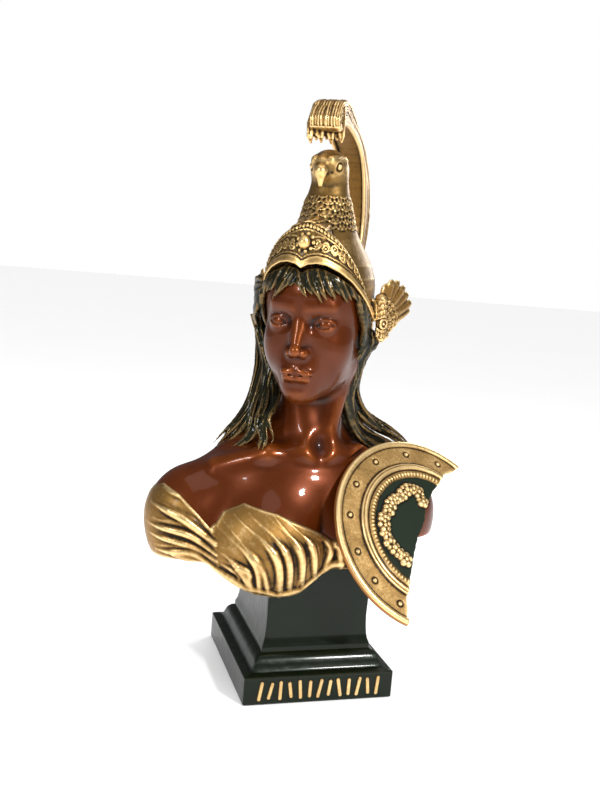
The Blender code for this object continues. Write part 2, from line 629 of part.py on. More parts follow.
def without_pinches(values, step):
    """Fills the few grid points at which the surface would touch itself along an edge or at a point."""
    while True:
        inside = values < 0
        corner = {tuple(c): shifted(inside, c) for c in CORNERS}
        fill = np.zeros(values.shape, bool)
        for axis in range(3):
            for level in (0, 1):
                square = []
                for a, b in ((0, 0), (1, 0), (0, 1), (1, 1)):
                    c = [a, b]
                    c.insert(axis, level)
                    square.append(tuple(c))
                p, q, r, s = (corner[c] for c in square)
                shifted(fill, square[1])[p & s & ~q & ~r] = True
                shifted(fill, square[0])[q & r & ~p & ~s] = True
        count = sum(corner[c].astype(np.int8) for c in corner)
        for c in ((0, 0, 0), (1, 0, 0), (0, 1, 0), (0, 0, 1)):
            across = tuple(1 - k for k in c)
            beside = (1 - c[0], c[1], c[2])
            shifted(fill, beside)[(count == 2) & corner[c] & corner[across]] = True
            shifted(fill, c)[(count == 6) & ~corner[c] & ~corner[across]] = True
        if not fill.any():
            return values
        values[fill] = -0.02 * step


def surface(field, low, high, step):
    """Points and four-sided faces of the form's surface."""
    low = np.asarray(low, float)
    v = without_pinches(sampled(field, low, np.asarray(high, float), step), step)
    for axis in range(3):
        ends = np.moveaxis(v, axis, 0)
        ends[0] = ends[-1] = step
    inside = v < 0
    n = np.array(v.shape) - 1
    count = np.zeros(n, np.uint8)
    for i, j, k in CORNERS:
        count += inside[i : n[0] + i, j : n[1] + j, k : n[2] + k]
    cells = np.argwhere((count > 0) & (count < 8))
    d = np.stack([v[tuple((cells + c).T)] for c in CORNERS], 1).astype(float)
    total = np.zeros((len(cells), 3))
    hits = np.zeros((len(cells), 1))
    for a, b in EDGES:
        cross = (d[:, a] < 0) != (d[:, b] < 0)
        t = d[:, a] / np.where(cross, d[:, a] - d[:, b], 1.0)
        total += np.where(cross[:, None], CORNERS[a] + t[:, None] * (CORNERS[b] - CORNERS[a]), 0.0)
        hits += cross[:, None]
    points = low + (cells + total / hits) * step
    stride = np.array([v.shape[1] * v.shape[2], v.shape[2], 1])
    keys = cells @ stride
    faces = []
    for axis in range(3):
        u, w = (axis + 1) % 3, (axis + 2) % 3
        first = [slice(None)] * 3
        second = [slice(None)] * 3
        first[axis] = slice(0, -1)
        second[axis] = slice(1, None)
        here = inside[tuple(first)]
        edge = np.argwhere(here != inside[tuple(second)])
        outward = here[tuple(edge.T)]
        ring = []
        for du, dw in ((0, 0), (-1, 0), (-1, -1), (0, -1)):
            cell = edge.copy()
            cell[:, u] += du
            cell[:, w] += dw
            ring.append(np.searchsorted(keys, cell @ stride))
        quad = np.stack(ring, 1)
        faces.append(np.where(outward[:, None], quad, quad[:, ::-1]))
    return settled(field, points, step), np.concatenate(faces)


def settled(field, points, step):
    """Points moved onto the form's surface."""
    for _ in range(2):
        p = points.astype(np.float32)
        slope = np.zeros(p.shape, np.float32)
        for corner in ((1, -1, -1), (-1, -1, 1), (-1, 1, -1), (1, 1, 1)):
            offset = np.array(corner, np.float32)
            slope += field(p + offset * step * 0.35)[:, None] * offset
        move = -field(p)[:, None] * slope / np.maximum(size(slope), 1e-9)[:, None]
        points = points + move / np.maximum(size(move) / (0.6 * step), 1.0)[:, None]
    return points


def largest_piece(points, faces):
    """The biggest connected piece."""
    label = np.arange(len(points))
    while True:
        low = label[faces].min(1)
        merged = label.copy()
        for k in range(faces.shape[1]):
            np.minimum.at(merged, faces[:, k], low)
        merged = merged[merged]
        if np.array_equal(merged, label):
            break
        label = merged
    values, counts = np.unique(label[faces[:, 0]], return_counts=True)
    faces = faces[label[faces[:, 0]] == values[counts.argmax()]]
    used, index = np.unique(faces, return_inverse=True)
    return points[used], index.reshape(faces.shape)


# Objects
def collection(name):
    made = bpy.data.collections.new(name)
    bpy.context.scene.collection.children.link(made)
    return made


def material(name, colour, metallic, roughness):
    made = bpy.data.materials.new(name)
    made.use_nodes = True
    shader = made.node_tree.nodes["Principled BSDF"]
    shader.inputs["Base Color"].default_value = (*colour, 1.0)
    shader.inputs["Metallic"].default_value = metallic
    shader.inputs["Roughness"].default_value = roughness
    return made


def new_object(name, points, faces, group, finish=None):
    mesh = bpy.data.meshes.new(name)
    mesh.from_pydata([tuple(p) for p in np.asarray(points, float)], [], [tuple(f) for f in faces])
    mesh.update()
    made = bpy.data.objects.new(name, mesh)
    group.objects.link(made)
    if finish:
        mesh.materials.append(finish)
    return made


def cast(name, field, low, high, step, triangles, group, finish):
    """A form made into a closed mesh of about the given number of triangles."""
    points, faces = largest_piece(*surface(field, low, high, step))
    made = new_object(name, points, faces.tolist(), group, finish)
    thin = made.modifiers.new("Fewer triangles", "DECIMATE")
    thin.ratio = min(1.0, triangles / (2 * len(faces)))
    return made


def cutter(name, points, faces, group):
    made = new_object(name, points, faces, group)
    made.hide_render = True
    made.display_type = "WIRE"
    return made


def prism(loop, low, high):
    """Points and faces of a loop of (x, y) extruded from low to high."""
    n = len(loop)
    points = [(x, y, low) for x, y in loop] + [(x, y, high) for x, y in loop]
    faces = [tuple(reversed(range(n))), tuple(range(n, 2 * n))]
    faces += [(i, (i + 1) % n, n + (i + 1) % n, n + i) for i in range(n)]
    return points, faces


def rectangle(low, high):
    return [(low[0], low[1]), (high[0], low[1]), (high[0], high[1]), (low[0], high[1])]


def oval(centre, radii, count):
    turns = [2 * math.pi * i / count for i in range(count)]
    return [(centre[0] + radii[0] * math.cos(t), centre[1] + radii[1] * math.sin(t)) for t in turns]


def cut(target, tool, operation="DIFFERENCE"):
    step = target.modifiers.new(tool.name, "BOOLEAN")
    step.operation = operation
    step.solver = "EXACT"
    step.object = tool


def in_head(points):
    return from_head(np.asarray(points, float))


# Plinth
PLINTH_STEPS = [(0.0025, 0.0), (0.0, 0.0025), (0.0, 0.0375), (0.0025, 0.0400), (0.0155, 0.0467),
                (0.0170, 0.0530), (0.0235, 0.0617), (0.0270, 0.0640), (0.0300, 0.0670), (0.0300, 0.0715),
                (0.0325, 0.0770), (0.0345, 0.0850), (0.0350, 0.1100), (0.0345, 0.1300),
                (PLINTH_SHAFT_INSET, SEAT_Z)]
CORNER_SOFT = 0.0018


def plinth_loop(inset, z):
    hx, hy = PLINTH_W / 2 - inset, PLINTH_D / 2 - inset
    c = CORNER_SOFT
    plan = [(-hx + c, -hy), (hx - c, -hy), (hx, -hy + c), (hx, hy - c),
            (hx - c, hy), (-hx + c, hy), (-hx, hy - c), (-hx, -hy + c)]
    return [(x, y, z) for x, y in plan]


def plinth_mesh():
    points = []
    for inset, z in PLINTH_STEPS:
        points += plinth_loop(inset, z)
    faces = [tuple(reversed(range(8)))]
    for level in range(len(PLINTH_STEPS) - 1):
        base = level * 8
        for i in range(8):
            j = (i + 1) % 8
            faces.append((base + i, base + j, base + 8 + j, base + 8 + i))
    top = (len(PLINTH_STEPS) - 1) * 8
    faces.append(tuple(range(top, top + 8)))
    return points, faces


# Raised strokes in a row on the slab's front: (lean in degrees, height share)
STROKES = [(8, 1.0), (12, 0.9), (0, 1.0), (-10, 0.85), (-6, 1.0), (0, 0.9), (10, 1.0), (6, 0.85),
           (-12, 1.0), (0, 0.9), (9, 1.0), (-7, 0.9), (4, 1.0)]
STROKE_PITCH = 0.0143
STROKE_Z = 0.0200
STROKE_H = 0.0285
STROKE_W = 0.0056
STROKE_RAISED = 0.0018


def stroke_mesh():
    points, faces = [], []
    for k, (lean, share) in enumerate(STROKES):
        x = (k - (len(STROKES) - 1) / 2) * STROKE_PITCH
        a = math.radians(lean)
        for y in (-PLINTH_D / 2 - STROKE_RAISED, -PLINTH_D / 2 + 0.002):
            for u, w in ((-1, -1), (1, -1), (1, 1), (-1, 1)):
                du, dw = u * STROKE_W / 2, w * STROKE_H * share / 2
                points.append((x + du * math.cos(a) + dw * math.sin(a), y,
                               STROKE_Z - du * math.sin(a) + dw * math.cos(a)))
        b = len(points) - 8
        faces += [(b, b + 1, b + 2, b + 3), (b + 7, b + 6, b + 5, b + 4)]
        faces += [(b + i, b + 4 + i, b + 4 + (i + 1) % 4, b + (i + 1) % 4) for i in range(4)]
    return points, faces


# Shield: front profile as (radius, height over the back)
SHIELD_RINGS = [(0.0, 0.0150), (0.030, 0.0146), (0.060, 0.0134), (0.0835, 0.0120), (0.0860, 0.0138),
                (0.0910, 0.0140), (0.0935, 0.0118), (0.0985, 0.0136), (0.1015, 0.0112), (0.1050, 0.0100),
                (0.1325, 0.0078), (0.1355, 0.0095), (0.1415, 0.0090), (SHIELD_R, 0.0060)]
SHIELD_SEGMENTS = 40
# Broken edge across the shield, in its own plane: x to the figure's left, y up
BREAK = [(0.125, 0.1030), (0.101, 0.0954), (0.0711, 0.0869), (0.0502, 0.0695), (0.0279, 0.0516),
         (0.0079, 0.0280), (-0.0088, 0.0028), (-0.0275, -0.0216), (-0.0441, -0.0511), (-0.0592, -0.0798),
         (-0.0669, -0.1013), (-0.0713, -0.1208), (-0.0749, -0.1294), (-0.0780, -0.1500)]
# Blossoms of the garland
GARLAND = [(0.0075, 0.0440), (0.0030, 0.0605), (-0.0135, 0.0640), (-0.0295, 0.0565), (-0.0440, 0.0480),
           (-0.0565, 0.0370), (-0.0670, 0.0240), (-0.0710, 0.0075), (-0.0685, -0.0095), (-0.0610, -0.0250),
           (-0.0510, -0.0385)]
BLOSSOM_R = 0.0080


def shield_axes():
    yaw, tilt = math.radians(SHIELD_YAW), math.radians(SHIELD_TILT)
    n = np.array([math.sin(yaw) * math.cos(tilt), -math.cos(yaw) * math.cos(tilt), math.sin(tilt)])
    side = np.cross((0, 0, 1), n)
    side = side / np.sqrt(side @ side)
    up = np.cross(n, side)
    return np.stack([side, up, n])


def on_shield(points):
    """Points of the shield's own frame (side, up, out) in metres."""
    return SHIELD_AT + np.asarray(points, float) @ shield_axes()


def shield_mesh():
    n = SHIELD_SEGMENTS
    points = [(0, 0, SHIELD_RINGS[0][1])]
    for r, z in SHIELD_RINGS[1:]:
        points += [(r * math.cos(2 * math.pi * i / n), r * math.sin(2 * math.pi * i / n), z) for i in range(n)]
    rim = SHIELD_R - 0.001
    points += [(rim * math.cos(2 * math.pi * i / n), rim * math.sin(2 * math.pi * i / n), 0.0) for i in range(n)]
    points.append((0, 0, 0))
    faces = [(0, 1 + i, 1 + (i + 1) % n) for i in range(n)]
    for ring in range(len(SHIELD_RINGS) - 1):
        a = 1 + ring * n
        faces += [(a + i, a + n + i, a + n + (i + 1) % n, a + (i + 1) % n) for i in range(n)]
    last = 1 + (len(SHIELD_RINGS) - 1) * n
    faces += [(last + (i + 1) % n, last + i, len(points) - 1) for i in range(n)]
    return on_shield(points), faces


def broken_off_mesh():
    """Everything beyond the broken edge."""
    loop = BREAK + [(0.260, BREAK[-1][1]), (0.260, BREAK[0][1])]
    points, faces = prism(loop, -0.02, 0.04)
    return on_shield(points), faces


def garland_mesh():
    """Low domes of the garland's blossoms."""
    points, faces = [], []
    for k, (x, y) in enumerate(GARLAND):
        r = BLOSSOM_R * (0.9 + 0.12 * math.sin(2.3 * k))
        base = len(points)
        for share, z in ((1.0, 0.010), (0.95, 0.0155)):
            for i in range(7):
                t = 2 * math.pi * i / 7 + k
                points.append((x + r * share * math.cos(t), y + r * share * math.sin(t), z))
        points.append((x, y, 0.0192))
        faces.append(tuple(base + i for i in reversed(range(7))))
        faces += [(base + i, base + (i + 1) % 7, base + 7 + (i + 1) % 7, base + 7 + i) for i in range(7)]
        faces += [(base + 7 + i, base + 7 + (i + 1) % 7, base + 14) for i in range(7)]
    return on_shield(points), faces


def main():
    for thing in list(bpy.data.objects):
        bpy.data.objects.remove(thing)
    bust = collection("bust")
    tools = collection("cutters")
    bronze = material("bronze", (0.20, 0.07, 0.02), 0.6, 0.3)
    gilt = [material(name + "_gilt", (0.45, 0.28, 0.09), 0.8, 0.4)
            for name in ("helmet", "crest", "wing_left", "wing_right", "shield")]
    dark = material("dark_bronze", (0.02, 0.03, 0.015), 0.5, 0.35)

    # Plinth with its row of strokes
    plinth = new_object("plinth", *plinth_mesh(), bust, dark)
    cut(plinth, cutter("strokes", *stroke_mesh(), tools), "UNION")

    # Figure, cut to sit on the shaft, under the helmet and behind the shield
    figure = cast("figure", figure_field(), (-0.264, -0.170, 0.120), (0.236, 0.150, 0.670),
                  FIGURE_STEP, FIGURE_TRIANGLES, bust, bronze)
    hx, hy = PLINTH_W / 2 - PLINTH_SHAFT_INSET + 0.002, PLINTH_D / 2 - PLINTH_SHAFT_INSET + 0.002
    shaft_room = prism(rectangle((-hx, -hy), (hx, hy)), 0.05, SEAT_Z + SEAT_GAP)
    cut(figure, cutter("shaft_room", *shaft_room, tools))
    points, faces = prism(rectangle((-0.2, -0.2), (0.2, 0.2)), CROWN_Z - SEAT_GAP, 0.35)
    cut(figure, cutter("crown_plane", in_head(points), faces, tools))
    points, faces = prism(oval((0, 0), (SHIELD_R + 0.006, SHIELD_R + 0.006), 32), -SEAT_GAP, 0.12)
    cut(figure, cutter("shield_room", on_shield(points), faces, tools))

    # Helmet with the bird's head
    cap = cast("helmet", helmet, (-0.150, -0.160, 0.460), (0.140, 0.150, 0.790),
               HELMET_STEP, HELMET_TRIANGLES, bust, gilt[0])
    points, faces = prism(oval((0, 0.005), (0.040, 0.050), 32), 0.185, CROWN_Z)
    cut(cap, cutter("crown_bearing", in_head(points), faces, tools))
    for side, name in ((1, "left_pad_face"), (-1, "right_pad_face")):
        x0, x1 = sorted((side * WING_PAD_X, side * (WING_PAD_X + 0.02)))
        points, faces = prism(rectangle((x0, -0.004), (x1, 0.026)), 0.112, 0.152)
        cut(cap, cutter(name, in_head(points), faces, tools))
    points, faces = prism(rectangle((-0.03, CREST_PAD_Y), (0.03, CREST_PAD_Y + 0.03)), 0.115, 0.180)
    cut(cap, cutter("crest_pad_face", in_head(points), faces, tools))

    # Crest
    plume = cast("crest", crest, (-0.100, -0.100, 0.520), (0.180, 0.200, 0.860),
                 CREST_STEP, CREST_TRIANGLES, bust, gilt[1])
    points, faces = prism(rectangle((-0.05, 0.02), (0.05, CREST_PAD_Y + SEAT_GAP)), 0.10, 0.1705)
    cut(plume, cutter("crest_seat", in_head(points), faces, tools))

    # Wings
    for side, name, finish in ((1, "wing_left", gilt[2]), (-1, "wing_right", gilt[3])):
        low = (-0.03, -0.11, 0.48) if side > 0 else (-0.19, -0.05, 0.48)
        high = (0.20, 0.14, 0.64) if side > 0 else (0.08, 0.20, 0.64)
        feathered = cast(name, lambda p, s=side: wing(p, s), low, high, WING_STEP, WING_TRIANGLES, bust, finish)
        x0, x1 = sorted((side * 0.04, side * (WING_PAD_X + SEAT_GAP)))
        points, faces = prism(rectangle((x0, -0.05), (x1, 0.07)), 0.05, 0.22)
        cut(feathered, cutter(name + "_seat", in_head(points), faces, tools))

    # Shield with its garland, broken across
    shield = new_object("shield", *shield_mesh(), bust, gilt[4])
    cut(shield, cutter("garland", *garland_mesh(), tools), "UNION")
    cut(shield, cutter("broken_off", *broken_off_mesh(), tools))


main()
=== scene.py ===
import math

import bpy
import numpy as np
from mathutils import Matrix, Vector


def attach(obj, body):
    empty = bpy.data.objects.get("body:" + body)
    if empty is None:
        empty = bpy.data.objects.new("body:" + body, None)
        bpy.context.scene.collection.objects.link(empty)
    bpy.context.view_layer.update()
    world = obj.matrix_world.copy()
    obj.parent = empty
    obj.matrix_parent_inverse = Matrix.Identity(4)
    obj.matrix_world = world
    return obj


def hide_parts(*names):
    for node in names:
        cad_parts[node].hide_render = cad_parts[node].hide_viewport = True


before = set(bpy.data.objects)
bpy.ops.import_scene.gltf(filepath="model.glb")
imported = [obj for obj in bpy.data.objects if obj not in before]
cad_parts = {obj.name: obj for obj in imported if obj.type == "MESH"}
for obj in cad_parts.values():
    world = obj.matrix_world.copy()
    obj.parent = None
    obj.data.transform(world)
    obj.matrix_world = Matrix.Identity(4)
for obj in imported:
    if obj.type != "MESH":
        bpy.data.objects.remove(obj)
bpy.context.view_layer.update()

# Plinth, and the figure's seat on it
PLINTH_W = 0.2188
PLINTH_D = 0.2450
SEAT_Z = 0.186
SEAT_GAP = 0.0003
PLINTH_SHAFT_INSET = 0.0345

# Head: where the chin's level meets the head's axis, its turn and its bow
HEAD_HEIGHT = 0.228
HEAD_TURN = -33.0
HEAD_BOW = 4.0
HEAD_AT = np.array([-0.010, -0.012, 0.419])
CHEST_X = -0.016
CHEST_TURN = 5.0

# Eyes in head heights
EYE = np.array([0.138, -0.319, 0.500])
EYE_R = 0.058

# Cloth: its thickness, its upper line in front and behind, and its lower line, as (x, z)
CLOTH = 0.0035
NECKLINE = [(-0.245, 0.262), (-0.236, 0.280), (-0.221, 0.289), (-0.204, 0.281), (-0.182, 0.260),
            (-0.163, 0.240), (-0.155, 0.247), (-0.146, 0.262), (-0.118, 0.276), (-0.077, 0.268),
            (-0.033, 0.249), (0.005, 0.230), (0.035, 0.232), (0.075, 0.245), (0.120, 0.240),
            (0.150, 0.215), (0.210, 0.190)]
BACKLINE = [(-0.245, 0.262), (-0.220, 0.285), (-0.160, 0.262), (-0.050, 0.250), (0.050, 0.250),
            (0.120, 0.235), (0.210, 0.190)]
LOWER = [(-0.245, 0.194), (-0.205, 0.190), (-0.148, 0.174), (-0.111, 0.157), (-0.072, 0.147),
         (-0.039, 0.151), (-0.012, 0.170), (0.010, 0.186), (0.060, 0.190), (0.120, 0.192),
         (0.160, 0.211), (0.210, 0.214)]
LOWER_BEHIND = [(-0.250, 0.188), (0.120, 0.188), (0.160, 0.210), (0.210, 0.213)]

# Helmet in the head's own frame, metres: x to the figure's left, y back, z up from the chin
DOME = np.array([-0.001, 0.000, 0.145])
DOME_R = (0.0765, 0.103)
DOME_SHARE = [(0.0, 1.0), (0.018, 1.0), (0.031, 0.975), (0.049, 0.895), (0.0665, 0.765),
              (0.086, 0.62), (0.114, 0.45), (0.137, 0.31), (0.155, 0.25), (0.168, 0.20)]
DOME_TOP = 0.160
BRIM = [(0, 0.1895), (5, 0.1945), (12, 0.1965), (20, 0.1945), (32, 0.186), (44, 0.174),
        (58, 0.156), (75, 0.134), (95, 0.112), (112, 0.094), (135, 0.080), (180, 0.074)]
FRONTLET = [(0, 0.250), (8, 0.2475), (16, 0.2425), (28, 0.232), (40, 0.2155), (52, 0.1935),
            (61, 0.172), (69, 0.150), (80, 0.130), (92, 0.114)]
FRONTLET_AT = (0.0, 0.003, 0.130)
FRONTLET_R = (0.0800, 0.1085, 0.175)
FRONTLET_END = 92.0
WALL = 0.0045
CROWN_Z = 0.2065
ROOM = 0.0045

# Crest's side view: outer and inner edge as (y, z), and half its width
CREST_OUT = [(-0.028, 0.400), (-0.018, 0.4115), (0.000, 0.4160), (0.020, 0.4130), (0.047, 0.4023),
             (0.0926, 0.3821), (0.1235, 0.3630), (0.1511, 0.3380), (0.1718, 0.3090), (0.1835, 0.2743),
             (0.1790, 0.2384), (0.1650, 0.2080), (0.1460, 0.1780), (0.1240, 0.1450)]
CREST_IN = [(-0.016, 0.372), (0.000, 0.3800), (0.0281, 0.3786), (0.060, 0.3700), (0.089, 0.3575),
            (0.1150, 0.3390), (0.1330, 0.3090), (0.1430, 0.2704), (0.1430, 0.2400), (0.1350, 0.2130),
            (0.1220, 0.1850), (0.1060, 0.1550)]
CREST_HALF = 0.0225
CREST_LOCKS = [(-0.0185, -0.017, -0.027, 0.3555), (-0.0125, -0.020, -0.024, 0.3600),
               (-0.0065, -0.020, -0.022, 0.3570), (-0.0010, -0.020, -0.018, 0.3615),
               (0.0045, -0.019, -0.015, 0.3565), (0.0105, -0.018, -0.011, 0.3620),
               (0.0160, -0.016, -0.008, 0.3590)]
CREST_PAD_Y = 0.1075

# Wings: the root, the spread's direction seen from above, and feather tips as (out, up, half width)
WING_ROOT = np.array([0.0880, 0.010, 0.118])
WING_SWEEP = 29.0
WING_PAD_X = 0.0835
WING_ROOM = 0.0025
FEATHERS = [(0.006, 0.047, 0.0095), (0.018, 0.053, 0.0095), (0.032, 0.0515, 0.0095),
            (0.045, 0.0440, 0.0095), (0.056, 0.034, 0.0095), (0.0640, 0.022, 0.0090),
            (0.062, 0.0110, 0.0075), (0.051, 0.006, 0.0070), (0.040, 0.002, 0.0065),
            (0.030, -0.004, 0.006), (0.021, -0.011, 0.006), (0.012, -0.020, 0.006)]
FEATHER_TIP = 0.0060

# Shield: centre of its back, facing, size
SHIELD_AT = np.array([0.139, -0.106, 0.2375])
SHIELD_YAW = 15.1
SHIELD_TILT = 36.5
SHIELD_R = 0.1444

# Locks of hair that fall on both sides, as points of their middle lines
FALLS = [
    [(0.057, -0.045, 0.529), (0.065, -0.040, 0.506), (0.051, -0.040, 0.490), (0.044, -0.035, 0.468),
     (0.041, -0.030, 0.440), (0.050, -0.020, 0.412), (0.069, -0.010, 0.390), (0.096, 0.000, 0.372),
     (0.124, 0.000, 0.359), (0.147, 0.005, 0.344)],
    [(0.045, -0.050, 0.515), (0.041, -0.050, 0.493), (0.034, -0.045, 0.472), (0.034, -0.040, 0.448),
     (0.031, -0.036, 0.423), (0.037, -0.030, 0.400), (0.048, -0.028, 0.376), (0.066, -0.025, 0.358),
     (0.092, -0.020, 0.345), (0.115, -0.020, 0.335)],
    [(0.065, -0.030, 0.514), (0.060, -0.020, 0.488), (0.051, -0.015, 0.467), (0.049, -0.010, 0.445),
     (0.055, 0.000, 0.421), (0.068, 0.010, 0.400), (0.089, 0.015, 0.383), (0.114, 0.020, 0.369),
     (0.141, 0.020, 0.351), (0.160, 0.020, 0.334)],
    [(-0.094, 0.030, 0.572), (-0.094, 0.035, 0.543), (-0.085, 0.040, 0.514), (-0.075, 0.040, 0.484),
     (-0.076, 0.030, 0.456), (-0.082, 0.020, 0.431), (-0.089, 0.010, 0.406), (-0.097, 0.005, 0.383),
     (-0.109, 0.005, 0.365), (-0.126, 0.010, 0.346), (-0.142, 0.015, 0.326)],
    [(-0.085, 0.030, 0.507), (-0.079, 0.020, 0.479), (-0.076, 0.010, 0.451), (-0.079, 0.000, 0.423),
     (-0.086, -0.010, 0.402), (-0.094, -0.020, 0.382), (-0.101, -0.025, 0.362), (-0.112, -0.020, 0.346),
     (-0.125, -0.010, 0.335)],
    [(-0.072, 0.010, 0.473), (-0.069, 0.000, 0.445), (-0.071, -0.015, 0.420), (-0.078, -0.034, 0.402),
     (-0.088, -0.044, 0.388), (-0.088, -0.049, 0.375), (-0.086, -0.055, 0.361), (-0.092, -0.060, 0.348)],
    [(0.051, -0.050, 0.522), (0.052, -0.045, 0.500), (0.043, -0.040, 0.478), (0.039, -0.036, 0.454),
     (0.036, -0.030, 0.426), (0.042, -0.025, 0.403), (0.055, -0.020, 0.379), (0.080, -0.012, 0.362),
     (0.112, -0.008, 0.349), (0.137, -0.005, 0.337)],
    [(0.056, -0.010, 0.498), (0.050, 0.000, 0.471), (0.050, 0.010, 0.443), (0.056, 0.020, 0.418),
     (0.074, 0.028, 0.394), (0.098, 0.032, 0.377), (0.124, 0.033, 0.362), (0.148, 0.033, 0.345),
     (0.168, 0.030, 0.325)],
    [(-0.078, 0.010, 0.480), (-0.074, 0.000, 0.449), (-0.076, -0.010, 0.422), (-0.083, -0.030, 0.401),
     (-0.092, -0.040, 0.388), (-0.097, -0.046, 0.375), (-0.092, -0.052, 0.362), (-0.096, -0.058, 0.347)],
    [(-0.090, 0.045, 0.550), (-0.082, 0.055, 0.513), (-0.075, 0.055, 0.476), (-0.075, 0.050, 0.446),
     (-0.082, 0.045, 0.419), (-0.092, 0.040, 0.395), (-0.104, 0.035, 0.375), (-0.121, 0.030, 0.354),
     (-0.138, 0.030, 0.332)],
]
THIN_FALLS = (5, 8)

# Helmet's ornament
SCROLL_PITCH = 0.0230
SCROLL_MIDDLE = 0.0205
BEAD_PITCH = 0.0050

# Plinth: profile as (inset, height)
PLINTH_STEPS = [(0.0012, 0.0), (0.0, 0.0012), (0.0, 0.0385), (0.0012, 0.0398), (0.0125, 0.0415),
                (0.0145, 0.0440), (0.0165, 0.0500), (0.0195, 0.0570), (0.0240, 0.0618), (0.0275, 0.0635),
                (0.0290, 0.0640), (0.0290, 0.0700), (0.0296, 0.0720), (0.0318, 0.0770), (0.0334, 0.0850),
                (0.0343, 0.0960), (0.0350, 0.1100), (0.0345, 0.1300), (PLINTH_SHAFT_INSET, SEAT_Z)]
PLINTH_CORNER = 0.0016
# How light the plinth is painted at each height, as (height, level): lighter at its foot, painted
# highlights on the slab's top edge and on the lip over the cyma, painted shade in the fillet over the slab
# and in the recess over the lip
PLINTH_PAINTED_LIGHT = [(0, 0.80), (0.0025, 0.60), (0.006, 0.50), (0.0350, 0.50), (0.0375, 0.75), (0.0400, 0.70),
               (0.0440, 0.45), (0.0625, 0.50), (0.0640, 0.70), (0.0660, 0.35), (0.0700, 0.50)]

# Raised strokes in a row on the slab's front: (lean in degrees, height share)
STROKES = [(8, 1.0), (12, 0.9), (0, 1.0), (-10, 0.85), (-6, 1.0), (0, 0.9), (10, 1.0), (6, 0.85),
           (-12, 1.0), (0, 0.9), (9, 1.0), (-7, 0.9), (4, 1.0)]
STROKE_PITCH = 0.0143
STROKE_Z = 0.0200
STROKE_H = 0.0285
STROKE_W = 0.0056
STROKE_RAISED = 0.0018

# Shield: front profile as (radius, height over the back)
SHIELD_PROFILE = [(0.0, 0.0150), (0.030, 0.0146), (0.060, 0.0134), (0.0825, 0.0120), (0.0840, 0.0122),
                  (0.0850, 0.0126), (0.0895, 0.0136), (0.0935, 0.0130), (0.0945, 0.0120), (0.0955, 0.0122),
                  (0.0972, 0.0140), (0.0995, 0.0148), (0.1015, 0.0142), (0.1028, 0.0124), (0.1040, 0.0130),
                  (0.1050, 0.0126), (0.1058, 0.0104), (0.1070, 0.0098), (0.1330, 0.0078), (0.1342, 0.0072),
                  (0.1352, 0.0084), (0.1372, 0.0096), (0.1402, 0.0098), (0.1426, 0.0088), (SHIELD_R, 0.0068)]
# Broken edge across the shield, in its own plane: x to the figure's left, y up
BREAK = [(0.125, 0.1030), (0.101, 0.0954), (0.0896, 0.0904), (0.0711, 0.0869), (0.0601, 0.0787),
         (0.0502, 0.0695), (0.0344, 0.0586), (0.0279, 0.0516), (0.0160, 0.0398), (0.0079, 0.0280),
         (0.0022, 0.0162), (-0.0088, 0.0028), (-0.0191, -0.0085), (-0.0275, -0.0216), (-0.0365, -0.0364),
         (-0.0441, -0.0511), (-0.0521, -0.0655), (-0.0592, -0.0798), (-0.0652, -0.0903),
         (-0.0669, -0.1013), (-0.0702, -0.1118), (-0.0713, -0.1208), (-0.0749, -0.1294), (-0.0780, -0.1500)]
GARLAND = [(0.0085, 0.0440), (0.0065, 0.0590), (-0.0020, 0.0645), (-0.0135, 0.0640), (-0.0245, 0.0565),
           (-0.0360, 0.0520), (-0.0470, 0.0455), (-0.0555, 0.0350), (-0.0665, 0.0260), (-0.0690, 0.0140),
           (-0.0715, 0.0030), (-0.0690, -0.0090), (-0.0645, -0.0190), (-0.0575, -0.0285), (-0.0505, -0.0375)]
BLOSSOM_R = 0.0088
RIVET_RING = 0.1220
RIVET_ANGLES = [58, 85, 113, 139, 163, 188, 209, 231]
